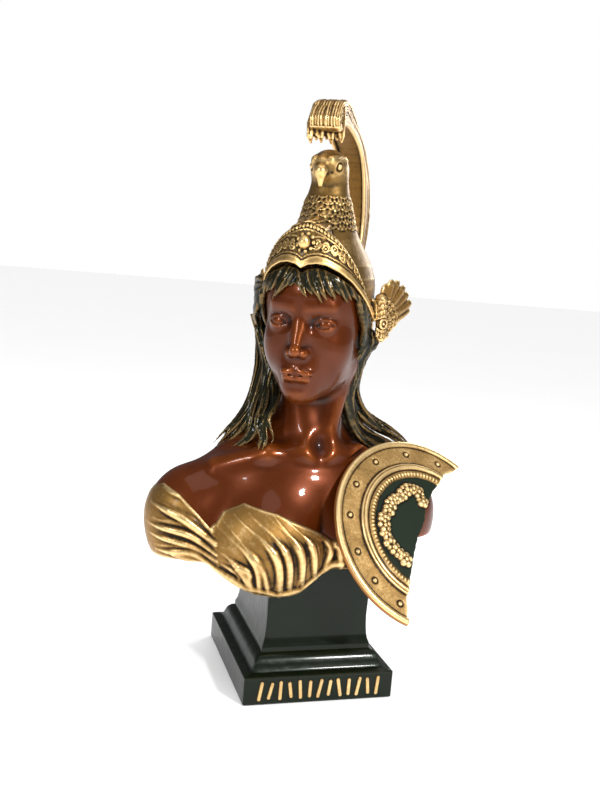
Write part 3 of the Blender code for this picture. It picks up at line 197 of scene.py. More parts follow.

# Finishes: colours of recess, body and ridge, where on the relief each of the two changes begins and
# ends, then the values at the recess and the ridge, the coat's weight and roughness, patches, and grain.
# The recess colour is patina with painted shade, the ridge colour wear with a painted highlight.
SPECULAR = 0.15
FINISHES = {
    "skin": ("skin_bronze", (0.014, 0.003, 0.0008), (0.088, 0.0165, 0.0015), (0.195, 0.046, 0.006),
             (0.02, 0.42, 0.60, 0.98), (0.42, 0.28), (0.25, 0.45), (0.32, 0.07), (9.0, 0.14),
             (900.0, 0.10, 0.35)),
    "hair": ("hair_bronze", (0.002, 0.002, 0.001), (0.017, 0.016, 0.006), (0.230, 0.140, 0.048),
             (0.16, 0.50, 0.72, 1.12), (0.50, 0.30), (0.3, 0.8), (0.3, 0.12), (30.0, 0.25),
             (700.0, 0.30, 0.4)),
    "gilt": ("antique_gilt", (0.014, 0.007, 0.002), (0.300, 0.160, 0.042), (0.920, 0.640, 0.290),
             (0.26, 0.50, 0.54, 0.82), (0.60, 0.30), (0.5, 0.88), (0.1, 0.2), (22.0, 0.30),
             (800.0, 0.55, 0.6)),
    "helmet": ("helmet_gilt", (0.018, 0.011, 0.004), (0.250, 0.145, 0.042), (0.860, 0.570, 0.230),
               (0.20, 0.48, 0.55, 0.84), (0.60, 0.30), (0.5, 0.90), (0.1, 0.2), (20.0, 0.38),
               (800.0, 0.55, 0.6), True),
    "shield": ("shield_gilt", (0.030, 0.016, 0.006), (0.430, 0.260, 0.090), (0.950, 0.680, 0.320),
               (0.20, 0.48, 0.50, 0.80), (0.62, 0.34), (0.5, 0.88), (0.1, 0.2), (30.0, 0.60),
               (600.0, 0.8, 0.6), True),
    "plinth": ("dark_bronze", (0.0010, 0.0020, 0.0010), (0.0040, 0.0080, 0.0030), (0.018, 0.020, 0.008),
               (0.10, 0.45, 0.60, 0.95), (0.40, 0.28), (0.1, 0.3), (0.22, 0.10), (10.0, 0.20),
               (420.0, 0.15, 2.6)),
    "field": ("shield_field", (0.004, 0.006, 0.003), (0.013, 0.021, 0.012), (0.05, 0.05, 0.03),
              (0.10, 0.45, 0.60, 0.95), (0.65, 0.50), (0.1, 0.3), (0.05, 0.3), (30.0, 0.40),
              (500.0, 0.7, 0.6)),
    "edge": ("shield_edge", (0.010, 0.004, 0.002), (0.160, 0.042, 0.009), (0.430, 0.190, 0.055),
             (0.10, 0.45, 0.60, 0.95), (0.50, 0.35), (0.4, 0.7), (0.1, 0.2), (30.0, 0.30),
             (500.0, 0.4, 0.4)),
}

# Camera
CAMERA_AT = (-0.4030363, -1.2762414, 0.5968320)
CAMERA_AHEAD = (0.2985454, 0.9453640, -0.1309867)
CAMERA_RIGHT = (0.9535384, -0.2896396, 0.0829068)
CAMERA_UP = (-0.0404382, 0.1496523, 0.9879114)
CAMERA_FOCUS = 914.3
CAMERA_CENTRE = (317.96, 394.16)
IMAGE = (600, 800)

# Studio: floor, and lights as (name, place, target, width, height, power, colour)
FLOOR_HALF = 30
FLOOR_Z = -0.0005
LIGHTS = [("key", (0.75, -1.75, 1.35), (0, 0, 0.45), 0.20, 0.20, 30, (1, 1, 1)),
          ("window", (-1.45, -1.0, 1.25), (0, 0, 0.40), 0.16, 0.50, 13, (0.92, 0.96, 1.0)),
          ("ceiling", (0.1, -0.3, 2.4), (0, 0, 0.3), 1.8, 1.8, 13, (1, 1, 1)),
          ("rim", (1.3, 1.2, 1.2), (0, 0, 0.5), 0.30, 0.9, 10, (1, 1, 1))]


# Forms: each is the signed distance of points from a surface, negative inside
def size(v):
    return np.sqrt(np.einsum("ij,ij->i", v, v))


def ball(p, centre, radius):
    return size(p - np.asarray(centre, np.float32)) - radius


def egg(p, centre, radii, turn=None):
    q = p - np.asarray(centre, np.float32)
    if turn is not None:
        q = q @ turn
    r = np.asarray(radii, np.float32)
    k0 = np.maximum(size(q / r), 1e-6)
    k1 = np.maximum(size(q / (r * r)), 1e-6)
    return k0 * (k0 - 1.0) / k1


def rod(p, a, b, ra, rb):
    a = np.asarray(a, np.float32)
    ab = np.asarray(b, np.float32) - a
    q = p - a
    t = np.clip(q @ ab / max(float(ab @ ab), 1e-12), 0.0, 1.0)
    return size(q - t[:, None] * ab) - (ra + (rb - ra) * t)


def block(p, low, high):
    low = np.asarray(low, np.float32)
    high = np.asarray(high, np.float32)
    return np.maximum(low - p, p - high).max(1)


def melt(a, b, k):
    h = np.maximum(k - np.abs(a - b), 0.0) / k
    return np.minimum(a, b) - h * h * k * 0.25


def dig(a, b, k):
    return -melt(-a, b, k)


def meet(a, b, k):
    return -melt(-a, -b, k)


def spin(axis, degrees):
    a = math.radians(degrees)
    c, s = math.cos(a), math.sin(a)
    if axis == "X":
        rows = [[1, 0, 0], [0, c, -s], [0, s, c]]
    elif axis == "Y":
        rows = [[c, 0, s], [0, 1, 0], [-s, 0, c]]
    else:
        rows = [[c, -s, 0], [s, c, 0], [0, 0, 1]]
    return np.array(rows, np.float32)


def curve(points, count):
    """Smooth curve through the points, as evenly spaced points."""
    pts = np.asarray(points, float)
    ends = np.vstack([2 * pts[0] - pts[1], pts, 2 * pts[-1] - pts[-2]])
    t = np.linspace(0, 1, 16, endpoint=False)[:, None]
    runs = []
    for i in range(len(pts) - 1):
        a, b, c, d = ends[i : i + 4]
        bend = (2 * a - 5 * b + 4 * c - d) * t**2 + (3 * b - a - 3 * c + d) * t**3
        runs.append(0.5 * (2 * b + (c - a) * t + bend))
    line = np.vstack([*runs, pts[-1:]])
    run = np.concatenate([[0], np.cumsum(size(line[1:] - line[:-1]))])
    even = np.linspace(0, run[-1], count)
    return np.stack([np.interp(even, run, line[:, k]) for k in range(3)], 1)


def strand(p, path, radii, flat=1.0, out=None, ribs=0.0, rib=0.0, phase=0.0, margin=0.012):
    """Tapered tube along a path, squeezed outwards by flat, with lengthwise grooves."""
    path = np.asarray(path, np.float32)
    radii = np.asarray(radii, np.float32)
    low = path.min(0) - radii.max() - margin
    high = path.max(0) + radii.max() + margin
    away = size(np.maximum(np.maximum(low - p, p - high), 0.0))
    near = np.flatnonzero(away == 0)
    d = away + margin
    if len(near) == 0:
        return d
    q = p[near]
    best = np.full(len(q), 1e9, np.float32)
    for i in range(len(path) - 1):
        step = path[i + 1] - path[i]
        v = q - path[i]
        t = np.clip(v @ step / max(float(step @ step), 1e-12), 0.0, 1.0)
        v = v - t[:, None] * step
        r = radii[i] + (radii[i + 1] - radii[i]) * t
        if out is None:
            reach = size(v) - r
        else:
            n = np.asarray(out if np.ndim(out) == 1 else out[i], np.float32)
            axis = step / max(float(np.sqrt(step @ step)), 1e-9)
            n = n - axis * float(n @ axis)
            n = n / max(float(np.sqrt(n @ n)), 1e-9)
            lift = (v @ n)[:, None] * n
            reach = size(v - lift + lift / flat)
            across = (v @ np.cross(axis, n)) / r
            turn = phase + 1.3 * math.sin(0.8 * i + phase)
            reach = reach + rib * (0.5 + 0.5 * np.cos(across * ribs + turn)) * np.clip(r / 0.004, 0.3, 1.0)
            reach = (reach - r) * flat
        best = np.minimum(best, reach)
    d[near] = best
    return d


def line_at(line, x):
    xs, values = zip(*line)
    return np.interp(x, xs, values).astype(np.float32)


def mirrored(q):
    m = q.copy()
    m[:, 0] = np.abs(m[:, 0])
    return m


HEAD_AXES = spin("Z", HEAD_TURN) @ spin("X", HEAD_BOW)


def to_head(p):
    """Points in the head's own frame, in metres."""
    return (p - HEAD_AT.astype(np.float32)) @ HEAD_AXES


def from_head(h):
    return HEAD_AT + np.asarray(h, float) @ HEAD_AXES.T


# Face and skull, in head heights
def face(q):
    m = mirrored(q)
    d = egg(q, (0, 0.03, 0.63), (0.310, 0.41, 0.36))
    d = melt(d, egg(q, (0, -0.115, 0.650), (0.262, 0.295, 0.26)), 0.12)
    d = melt(d, egg(q, (0, -0.115, 0.370), (0.245, 0.285, 0.34)), 0.12)
    d = melt(d, rod(m, (0.178, -0.04, 0.225), (0.045, -0.290, 0.105), 0.078, 0.075), 0.12)
    d = melt(d, egg(q, (0, -0.335, 0.082), (0.075, 0.078, 0.070)), 0.07)
    d = melt(d, egg(m, (0.150, -0.215, 0.345), (0.110, 0.130, 0.140)), 0.10)
    d = melt(d, egg(q, (0, -0.330, 0.215), (0.115, 0.098, 0.105)), 0.09)
    # Brow and sockets
    d = melt(d, rod(m, (0.04, -0.372, 0.590), (0.170, -0.330, 0.610), 0.024, 0.016), 0.06)
    d = dig(d, egg(m, (0.138, -0.430, 0.514), (0.085, 0.062, 0.042)), 0.060)
    d = dig(d, ball(m, (0.068, -0.416, 0.498), 0.010), 0.05)
    # Nose
    nose = rod(q, (0, -0.372, 0.560), (0, -0.462, 0.365), 0.024, 0.026)
    nose = melt(nose, egg(q, (0, -0.385, 0.40), (0.048, 0.066, 0.120)), 0.045)
    nose = melt(nose, ball(q, (0, -0.469, 0.345), 0.031), 0.024)
    nose = melt(nose, egg(m, (0.041, -0.430, 0.334), (0.025, 0.038, 0.026)), 0.020)
    d = melt(d, nose, 0.044)
    # Lips
    upper = egg(m, (0.034, -0.409, 0.2225), (0.062, 0.033, 0.021), spin("Y", 9) @ spin("Z", -16))
    lower = egg(m, (0.018, -0.4040, 0.1780), (0.062, 0.036, 0.026), spin("Z", -12))
    d = melt(d, upper, 0.026)
    d = melt(d, lower, 0.026)
    d = dig(d, rod(m, (0, -0.455, 0.2000), (0.086, -0.408, 0.2010), 0.0015, 0.002), 0.014)
    d = dig(d, rod(m, (0, -0.452, 0.128), (0.04, -0.445, 0.130), 0.012, 0.010), 0.055)
    # Eyeballs and lids
    lid = ball(m, EYE, EYE_R + 0.0075)
    u = m[:, 0] - EYE[0]
    w = m[:, 2] - EYE[2] - 0.05 * u
    upper_edge = np.hypot(u, w + 0.062) - 0.0935
    lower_edge = np.hypot(u, w - 0.108) - 0.1290
    opening = np.maximum(np.maximum(upper_edge, lower_edge), m[:, 1] - EYE[1])
    lid = dig(lid, opening, 0.005)
    d = melt(d, lid, 0.022)
    # Crease over the upper lid
    crease = np.maximum(np.abs(upper_edge - 0.020) - 0.001, np.abs(u) - 0.062)
    d = d + 0.0035 * np.exp(-np.maximum(crease, 0) / 0.006) * ((m[:, 1] < EYE[1]) & (w > 0))
    return np.minimum(d, ball(m, EYE, EYE_R))


def from_chest(point):
    return np.array([CHEST_X, 0, 0]) + spin("Z", CHEST_TURN) @ np.asarray(point, float)


def trunk(p):
    """Neck, shoulders and chest."""
    c = (p - np.array([CHEST_X, 0, 0], np.float32)) @ spin("Z", CHEST_TURN)
    s = mirrored(c)
    d = egg(c, (0, 0.012, 0.225), (0.128, 0.090, 0.140))
    d = melt(d, egg(c, (0, -0.010, 0.282), (0.125, 0.066, 0.070)), 0.05)
    d = melt(d, rod(s, (0.030, 0.026, 0.345), (0.146, 0.014, 0.260), 0.036, 0.040), 0.04)
    d = melt(d, egg(s, (0.168, 0.010, 0.244), (0.042, 0.044, 0.054)), 0.06)
    d = melt(d, rod(s, (0.173, 0.008, 0.243), (0.173, 0.004, 0.205), 0.037, 0.034), 0.04)
    d = melt(d, rod(s, (0.168, 0.000, 0.225), (0.090, -0.010, 0.210), 0.030, 0.050), 0.06)
    d = melt(d, egg(s, (0.067, -0.068, 0.214), (0.064, 0.050, 0.060)), 0.045)
    d = melt(d, egg(c, (0, 0.045, 0.25), (0.130, 0.062, 0.11)), 0.05)
    neck_top = from_head((0, 0.0137, 0.0502))
    d = melt(d, rod(p, from_chest((0.002, 0.024, 0.325)), neck_top, 0.049, 0.046), 0.045)
    # Collar bones
    d = melt(d, rod(s, (0.016, -0.058, 0.344), (0.070, -0.046, 0.340), 0.006, 0.006), 0.022)
    d = melt(d, rod(s, (0.070, -0.046, 0.340), (0.132, -0.012, 0.315), 0.006, 0.006), 0.024)
    # Neck's two bands and the notch between the collar bones
    for side in (1, -1):
        ear = from_head((side * 0.0530, 0.0137, 0.0821))
        d = melt(d, rod(p, from_chest((side * 0.011, -0.050, 0.347)), ear, 0.005, 0.007), 0.036)
    return dig(d, ball(c, (0, -0.072, 0.358), 0.010), 0.022)


def skin(p):
    head = face(to_head(p) / HEAD_HEIGHT) * HEAD_HEIGHT
    return melt(trunk(p), head, 0.014)


def draped_body(p):
    """Trunk under the cloth, with the lobe that hangs in front of the plinth."""
    return melt(trunk(p), egg(p, (-0.070, -0.070, 0.205), (0.075, 0.050, 0.062)), 0.03)


def land(field, points, direction):
    """Slides points along a direction until they meet the surface."""
    p = np.array(points, np.float32)
    n = np.asarray(direction, np.float32)
    n = n / np.sqrt((n * n).sum(-1, keepdims=True))
    for _ in range(60):
        p = p + (np.minimum(field(p), 0.03) * 0.8)[:, None] * n
    return p


def fold_lines():
    """Folds as (points, half width, smooth share): right breast, round the arm, left breast."""
    groups = [
        (25, [(-0.165, 0, 0.200), (-0.160, 0, 0.236), (-0.131, 0, 0.262), (-0.084, 0, 0.266),
              (-0.040, 0, 0.247), (-0.009, 0, 0.228), (0.030, 0, 0.222)],
         [(-0.120, 0, 0.162), (-0.087, 0, 0.149), (-0.058, 0, 0.150), (-0.031, 0, 0.166),
          (-0.007, 0, 0.180), (0.020, 0, 0.190), (0.050, 0, 0.190)], (0.014, 0, 0.006), 0.30),
        (9, [(-0.214, 0, 0.290), (-0.232, 0, 0.272), (-0.240, 0, 0.245), (-0.238, 0, 0.220),
             (-0.226, 0, 0.196)],
         [(-0.160, 0, 0.243), (-0.157, 0, 0.231), (-0.155, 0, 0.218), (-0.151, 0, 0.203),
          (-0.146, 0, 0.182)], (0.002, 0, 0.008), 0.0),
        (7, [(0.010, 0, 0.232), (0.060, 0, 0.240), (0.120, 0, 0.236), (0.150, 0, 0.215)],
         [(0.020, 0, 0.192), (0.060, 0, 0.190), (0.100, 0, 0.192), (0.135, 0, 0.194)], (0, 0, 0), 0.0),
    ]
    lines = []
    for count, starts, ends, bow, smooth in groups:
        first, last = curve(starts, 64), curve(ends, 64)
        for i in range(count):
            k = i * 63 / (count - 1)
            a = first[int(np.clip(k + 2.0 * math.sin(3.7 * i), 0, 63))]
            b = last[int(np.clip(k + 1.3 * math.sin(2.3 * i), 0, 63))]
            middle = (a + b) / 2 + np.array(bow) * (1 + 0.6 * math.sin(1.9 * i))
            lines.append((curve([a, middle, b], 16), 0.0044 + 0.0022 * math.sin(2.6 * i), smooth))
    return lines


def folds():
    made = []
    for line, r, smooth in fold_lines():
        path = line.copy()
        path[:, 0] += 0.0016 * np.sin(np.linspace(0, 7, len(path)) + 900 * r)
        path[:, 1] = -0.20
        path = land(draped_body, path, (0, 1, 0))
        path[:, 1] -= 0.25 * r
        share = np.linspace(0, 1, len(path))
        swell = 0.35 + 0.65 * np.sin(np.clip(share, 0.08, 0.94) * math.pi) ** 0.6
        made.append((path, r * swell * np.clip((share - smooth) / 0.2 + 0.25, 0.12, 1)))
    x = np.linspace(-0.226, 0.130, 60)
    hem = np.stack([x, np.full_like(x, -0.20), line_at(NECKLINE, x)], 1)
    made.append((land(draped_body, hem, (0, 1, 0)), np.full(len(hem), 0.0042)))
    x = np.linspace(-0.205, 0.020, 40)
    roll = np.stack([x, np.full_like(x, -0.20), line_at(LOWER, x) + 0.010], 1)
    made.append((land(draped_body, roll, (0, 1, 0)), 0.0066 + 0.0012 * np.sin(x * 90)))
    return made


def neckline(p):
    back = np.clip((p[:, 1] + 0.02) / 0.05, 0, 1)
    back = back * back * (3 - 2 * back)
    return line_at(NECKLINE, p[:, 0]) * (1 - back) + line_at(BACKLINE, p[:, 0]) * back


def cloth(p, fold_list):
    d = draped_body(p) - CLOTH * 0.5
    near = np.flatnonzero(np.abs(d) < 0.03)
    if len(near):
        q, e = p[near], d[near]
        for path, r in fold_list:
            e = melt(e, strand(q, path, r), 0.0024)
        d[near] = e
    return meet(d, p[:, 2] - neckline(p), 0.004)


def underside(p):
    """Height of the figure's lower edge: hanging cloth in front, level behind."""
    back = np.clip((p[:, 1] + 0.092) / 0.020, 0, 1)
    return line_at(LOWER, p[:, 0]) * (1 - back) + line_at(LOWER_BEHIND, p[:, 0]) * back


# Hair
def on_brow(angle, z):
    a = math.radians(angle)
    return (0.16 * math.sin(a), 0.003 - 0.16 * math.cos(a), z)


def laid_on_head(points, lift):
    """Points of the head's frame pushed straight in onto the skull, then lifted."""
    h = np.asarray(points, float)
    inward = np.array([0, 0.003, 0.0]) - h
    inward[:, 2] = 0
    direction = inward @ HEAD_AXES.T
    unit = direction / np.sqrt((direction * direction).sum(1, keepdims=True))
    return land(skin, from_head(h), direction) - unit * lift


def brim(angle):
    return line_at(BRIM, angle)


def outward_of(path):
    """Direction away from the head's and neck's axis at each point of a path."""
    path = np.asarray(path, float)
    axis = np.stack([np.interp(path[:, 2], [0.30, 0.42, 0.55], [-0.01, -0.008, -0.002]),
                     np.full(len(path), 0.030)], 1)
    away = path[:, :2] - axis
    away = np.column_stack([away, 0.15 * np.ones(len(path))])
    return away / np.sqrt((away * away).sum(1, keepdims=True))


def locks():
    """Locks as (path, half widths, grooves across, depth of the grooves)."""
    made = []
    # Fringe over the brow, parted under the peak
    taper = np.array([0.0052, 0.0056, 0.0058, 0.0056, 0.0052, 0.0046, 0.0038, 0.0027, 0.0012])
    for i in range(37):
        angle = -66 + 3.67 * i
        high = float(brim(abs(angle))) + 0.006
        low = 0.1525 + 0.004 * math.sin(2.1 * i) + 0.0035 * math.sin(5.3 * i)
        lean = -0.75 if angle < -4 else 0.75
        points = [on_brow(angle, high), on_brow(angle + 1.5 * lean, high * 0.62 + low * 0.38),
                  on_brow(angle + 8 * lean, high * 0.22 + low * 0.78), on_brow(angle + 13 * lean, low)]
        made.append((laid_on_head(curve(points, 9), 0.0040 + 0.0016 * (i % 2)), taper, 5.0, 0.0013))
    # Temples and over the ears
    for side in (1, -1):
        for i in range(8):
            first, last = 52 + 6.5 * i, 74 + 5.5 * i
            high, low = float(brim(first)), 0.104 - 0.0035 * i
            points = [on_brow(side * first, high + 0.006),
                      on_brow(side * (first + 3), high * 0.6 + low * 0.4),
                      on_brow(side * last, low), on_brow(side * (last + 12), low - 0.022)]
            path = laid_on_head(curve(points, 12), 0.0055 + 0.0015 * (i % 2))
            made.append((path, np.linspace(0.0068, 0.0055, 12), 6.0, 0.0013))
    # Falls on both sides, each a thick lock between two thin ones
    for k, fall in enumerate(FALLS):
        width = np.interp(np.linspace(0, 1, 24), [0, 0.3, 0.75, 1], [0.0072, 0.0084, 0.0080, 0.0020])
        if k in THIN_FALLS:
            width = width * 0.75
        for j, (aside, share) in enumerate(((0, 1.0), (0.0062, 0.55), (-0.0058, 0.60))):
            path = curve(fall, 24)
            path[:, 0] += aside + 0.0024 * np.sin(np.linspace(0, 10, 24) + 1.7 * k + 2.1 * j)
            path[:, 1] -= 0.4 * aside
            path[:, 2] += 0.6 * abs(aside)
            made.append((path, width * share, 6.5, 0.0015))
    # Back of the head, down between the shoulders
    for i in range(17):
        s = (i - 8) / 8
        around = 0.95 * s
        points = [from_head((0.13 * math.sin(around), 0.02 + 0.13 * math.cos(around), z))
                  for z in (0.100, 0.060)]
        lowest = 0.285 + 0.02 * abs(s) + 0.008 * math.sin(2.3 * i)
        for k, z in enumerate((0.425, 0.385, 0.345, 0.310, lowest)):
            x = 0.008 + (0.058 + 0.010 * k) * s + 0.005 * math.sin(1.9 * k + 1.3 * i)
            points.append((x, 0.14 - 0.05 * s * s, z))
        width = np.interp(np.linspace(0, 1, 24), [0, 0.3, 0.75, 1], [0.0070, 0.0085, 0.0085, 0.0025])
        path = laid_behind(curve(points, 24), 0.0025 + 0.002 * (i % 2))
        made.append((path, width, 7.0, 0.0016))
    return made


def side_locks():
    """Locks that swell over the helmet's edge at the right temple."""
    made = []
    for i in range(6):
        stations = [(44 + 2 * i, 0.084, 0.163), (57 + i, 0.0885, 0.168 - 0.008 * i),
                    (69 + i, 0.0900, 0.163 - 0.010 * i), (79 + i, 0.0885, 0.146 - 0.009 * i),
                    (86 + i, 0.0850, 0.122 - 0.006 * i), (92 + i, 0.0800, 0.098)]
        points = [(-r * math.sin(math.radians(a)), 0.003 - r * math.cos(math.radians(a)), z)
                  for a, r, z in stations]
        width = np.interp(np.linspace(0, 1, 18), [0, 0.3, 0.7, 1], [0.0045, 0.0066, 0.0066, 0.0045])
        made.append((from_head(curve(points, 18)), width, 6.0, 0.0014))
    return made


def hair_mass(p):
    """The hair's bulk on the skull, the nape and the upper back."""
    h = to_head(p)
    m = mirrored(h)
    d = egg(h, (0, 0.012, 0.150), (0.0745, 0.098, 0.080))
    d = meet(d, -(h[:, 1] + 0.035 + (h[:, 2] - 0.10) * 0.75) * 0.8, 0.01)
    d = melt(d, egg(m, (0.056, 0.026, 0.100), (0.018, 0.038, 0.040)), 0.02)
    d = melt(d, egg(h, (0, 0.062, 0.078), (0.052, 0.044, 0.080)), 0.03)
    d = melt(d, rod(p, from_head((0, 0.055, 0.03)), (0.002, 0.052, 0.390), 0.042, 0.046), 0.03)
    return melt(d, egg(p, (-0.008, 0.070, 0.340), (0.090, 0.030, 0.064)), 0.03)


def laid_behind(points, lift):
    """Points pushed level towards the nape until they meet the hair or the back, then lifted."""
    p = np.asarray(points, float)
    inward = np.array([0.0, 0.02, 0.0]) - p
    inward[:, 2] = 0
    unit = inward / np.sqrt((inward * inward).sum(1, keepdims=True))
    return land(lambda q: np.minimum(skin(q), hair_mass(q)), p, unit) - unit * lift


def hair(p, lock_list, bulk=True):
    d = np.full(len(p), 0.05, np.float32)
    if bulk:
        h = to_head(p)
        d = hair_mass(p)
        near = np.flatnonzero((h[:, 2] > 0.150) & (h[:, 2] < 0.215) & (h[:, 1] < 0.0))
        if len(near):
            low = 0.1665 + 0.002 * np.sin(h[near, 0] * 500)
            d[near] = np.minimum(d[near], np.maximum(skin(p[near]) - 0.0030, low - h[near, 2]))
    for k, (path, r, ribs, rib) in enumerate(lock_list):
        lock = strand(p, path, r, 0.85, outward_of(path), ribs, rib, 1.7 * k)
        d = melt(d, lock, 0.0018)
    return d


# Helmet
def turn_of(h):
    """Angle from the front in degrees, to either side."""
    return np.degrees(np.arctan2(np.abs(h[:, 0] - DOME[0]), DOME[1] - h[:, 1]))


def dome(h, offset=0.0):
    """Oval dome drawn up into the bird's neck."""
    rise = h[:, 2] - DOME[2]
    share = line_at(DOME_SHARE, rise)
    share = share * np.sqrt(np.clip(1.0 - (np.minimum(rise, 0.0) / 0.30) ** 2, 0.05, 1.0))
    rounding = np.clip(rise / 0.11, 0, 1)
    a = DOME_R[0] * share
    b = DOME_R[1] * share * (1 - rounding) + rounding * DOME_R[0] * share * 1.05
    u = h[:, 0] - DOME[0]
    w = h[:, 1] - DOME[1] - 0.014 * np.clip(rise / 0.10, 0, 1)
    k0 = np.maximum(np.sqrt((u / a) ** 2 + (w / b) ** 2), 1e-6)
    k1 = np.maximum(np.sqrt((u / (a * a)) ** 2 + (w / (b * b)) ** 2), 1e-6)
    # Closed inside the bird's neck
    return np.maximum(k0 * (k0 - 1.0) / k1 * 0.8 - offset, rise - DOME_TOP)


def frontlet_face(h, offset=0.0):
    radii = tuple(r + offset for r in FRONTLET_R)
    return np.maximum(egg(h, FRONTLET_AT, radii), (turn_of(h) - FRONTLET_END) * 0.001)


def helmet_outside(h, offset=0.0):
    top = line_at(FRONTLET, turn_of(h))
    plate = meet(frontlet_face(h, offset), (h[:, 2] - top) * 0.8, 0.002)
    return np.minimum(dome(h, offset), plate)


def hollow(h):
    """Room inside the helmet."""
    return np.maximum(egg(h, (0, 0.001, 0.130), (0.0735, 0.1015, 0.130)), dome(h, -WALL))


def ridge(x, half, height):
    """Rounded bar of the given half width and height, across the distance x."""
    return np.sqrt(np.clip(1.0 - (x / half) ** 2, 0.0, 1.0)) * height


def on_frontlet(h):
    """Distance round the brow, above the brim and below the upper border, and the plate's mask."""
    turn = np.arctan2(h[:, 0] - DOME[0], DOME[1] - h[:, 1])
    round_brow = turn * np.hypot(h[:, 0], h[:, 1])
    angle = np.degrees(np.abs(turn))
    above = (h[:, 2] - line_at(BRIM, angle)) * 0.85
    below = (line_at(FRONTLET, angle) - h[:, 2]) * 0.80
    return round_brow, above, below, (angle < FRONTLET_END) & (below > 0)


def ornament(h):
    """Height of the helmet's relief."""
    s, above, below, plate = on_frontlet(h)
    # Running scroll between two fillets
    u = s / SCROLL_PITCH
    v = above - SCROLL_MIDDLE
    stem = ridge(v - 0.0044 * np.sin(2 * math.pi * u), 0.0015, 0.0011)
    k = np.round(2 * u - 0.5)
    du = (u - (k + 0.5) / 2) * SCROLL_PITCH
    dv = v + 0.0022 * np.where(k % 2 == 0, 1, -1)
    ring = ridge(np.hypot(du, dv) - 0.0036, 0.0012, 0.0012)
    knob = ridge(np.hypot(du, dv), 0.0017, 0.0014)
    leaf = ridge(np.hypot(np.abs(du) - 0.0052, dv * 1.6), 0.0021, 0.0010)
    relief = np.maximum.reduce([stem, ring, knob, leaf])
    relief = np.where(np.abs(v) < 0.0080, relief, 0.0)
    for at in (SCROLL_MIDDLE - 0.0092, SCROLL_MIDDLE + 0.0092):
        relief = np.maximum(relief, ridge(above - at, 0.0010, 0.0009))
    # Beads and a fillet along the upper border
    ds = (s / BEAD_PITCH - np.round(s / BEAD_PITCH)) * BEAD_PITCH
    bead = ridge(np.hypot(ds, below - 0.0034), 0.0022, 0.0020)
    border = np.maximum(bead, ridge(below - 0.0072, 0.0010, 0.0010))
    relief = np.where(below < 0.0085, border, relief)
    # Ring of pearls round the boss
    ds, dz = h[:, 0], h[:, 2] - 0.2235
    turn = np.arctan2(dz, ds)
    step = 2 * math.pi / 9
    along = (turn - np.round(turn / step) * step) * 0.0115
    pearls = ridge(np.hypot(along, np.hypot(ds, dz) - 0.0115), 0.0024, 0.0017)
    relief = np.where((h[:, 1] < 0) & (np.hypot(ds, dz) < 0.0145), pearls, relief)
    return np.where(plate, relief, 0.0).astype(np.float32)


def feathering(h):
    """Height of the small overlapping feathers on the bird's neck and breast."""
    row = (0.312 - h[:, 2]) / 0.0085
    turn = np.arctan2(h[:, 0], -(h[:, 1] - 0.012)) * 12 / (2 * math.pi)
    k = np.floor(row)
    across = np.abs((turn + 0.5 * (k % 2)) % 1.0 - 0.5) * 2
    fall = (row - 0.45 * (1 - across**2)) % 1.0
    height = 0.0017 * fall + 0.0005 * np.cos(across * 9)
    mask = np.clip((0.287 - h[:, 2]) / 0.004, 0, 1) * np.clip((h[:, 2] - 0.238) / 0.006, 0, 1)
    return (height * mask).astype(np.float32)


def helmet(h):
    m = mirrored(h)
    s, above, below, plate = on_frontlet(h)
    d = helmet_outside(h) - ornament(h)
    edge = (np.abs(h[:, 2] - brim(turn_of(h)) - 0.0045) - 0.0050) * 0.8
    d = melt(d, np.maximum(np.minimum(dome(h, 0.0018), frontlet_face(h, 0.0018)), edge), 0.003)
    # Pads that carry the wings and the crest
    d = melt(d, block(m, (0.060, 0.001, 0.119), (WING_PAD_X + 0.001, 0.021, 0.147)), 0.004)
    d = melt(d, block(h, (-0.018, 0.080, 0.130), (0.018, CREST_PAD_Y + 0.001, 0.166)), 0.004)
    # Breast, neck, head and beak of the bird
    bird = rod(h, (0, -0.052, 0.232), (0, 0.004, 0.268), 0.019, 0.026)
    bird = melt(bird, rod(h, (0, 0.020, 0.262), (0, 0.014, 0.318), 0.027, 0.0225), 0.016)
    bird = melt(melt(d, bird, 0.018), egg(h, (0, 0.007, 0.324), (0.0260, 0.033, 0.0255)), 0.008)
    d = bird - np.where(plate, 0.0, feathering(h))
    d = melt(d, egg(h, (0, -0.014, 0.330), (0.020, 0.020, 0.012)), 0.006)
    d = melt(d, rod(h, (0, -0.020, 0.328), (0, -0.036, 0.318), 0.011, 0.0075), 0.005)
    d = melt(d, rod(h, (0, -0.036, 0.318), (0, -0.034, 0.300), 0.0075, 0.003), 0.005)
    d = dig(d, rod(m, (0.0085, -0.044, 0.3135), (0.013, -0.022, 0.3165), 0.0006, 0.0010), 0.003)
    d = melt(d, rod(m, (0.012, -0.026, 0.3345), (0.020, 0.006, 0.335), 0.004, 0.005), 0.005)
    d = dig(d, ball(m, (0.0205, -0.014, 0.3255), 0.0045), 0.005)
    d = melt(d, ball(m, (0.0185, -0.013, 0.3255), 0.0046), 0.001)
    d = melt(d, egg(h, (0.0, -0.0935, 0.2235), (0.008, 0.007, 0.009)), 0.002)
    # Lower edge, and the room under it
    d = meet(d, (brim(turn_of(h)) - h[:, 2]) * 0.8, 0.0015)
    room = np.maximum(hollow(h), h[:, 2] - brim(turn_of(h)) - 0.022)
    return np.maximum(d, -room)


def helmet_room(p):
    """Negative where the figure makes room for the helmet's wall."""
    h = to_head(p)
    inside = np.maximum(hollow(h), h[:, 2] - CROWN_Z - 0.02)
    return np.maximum(brim(turn_of(h)) - 0.006 - h[:, 2], -(inside + ROOM))


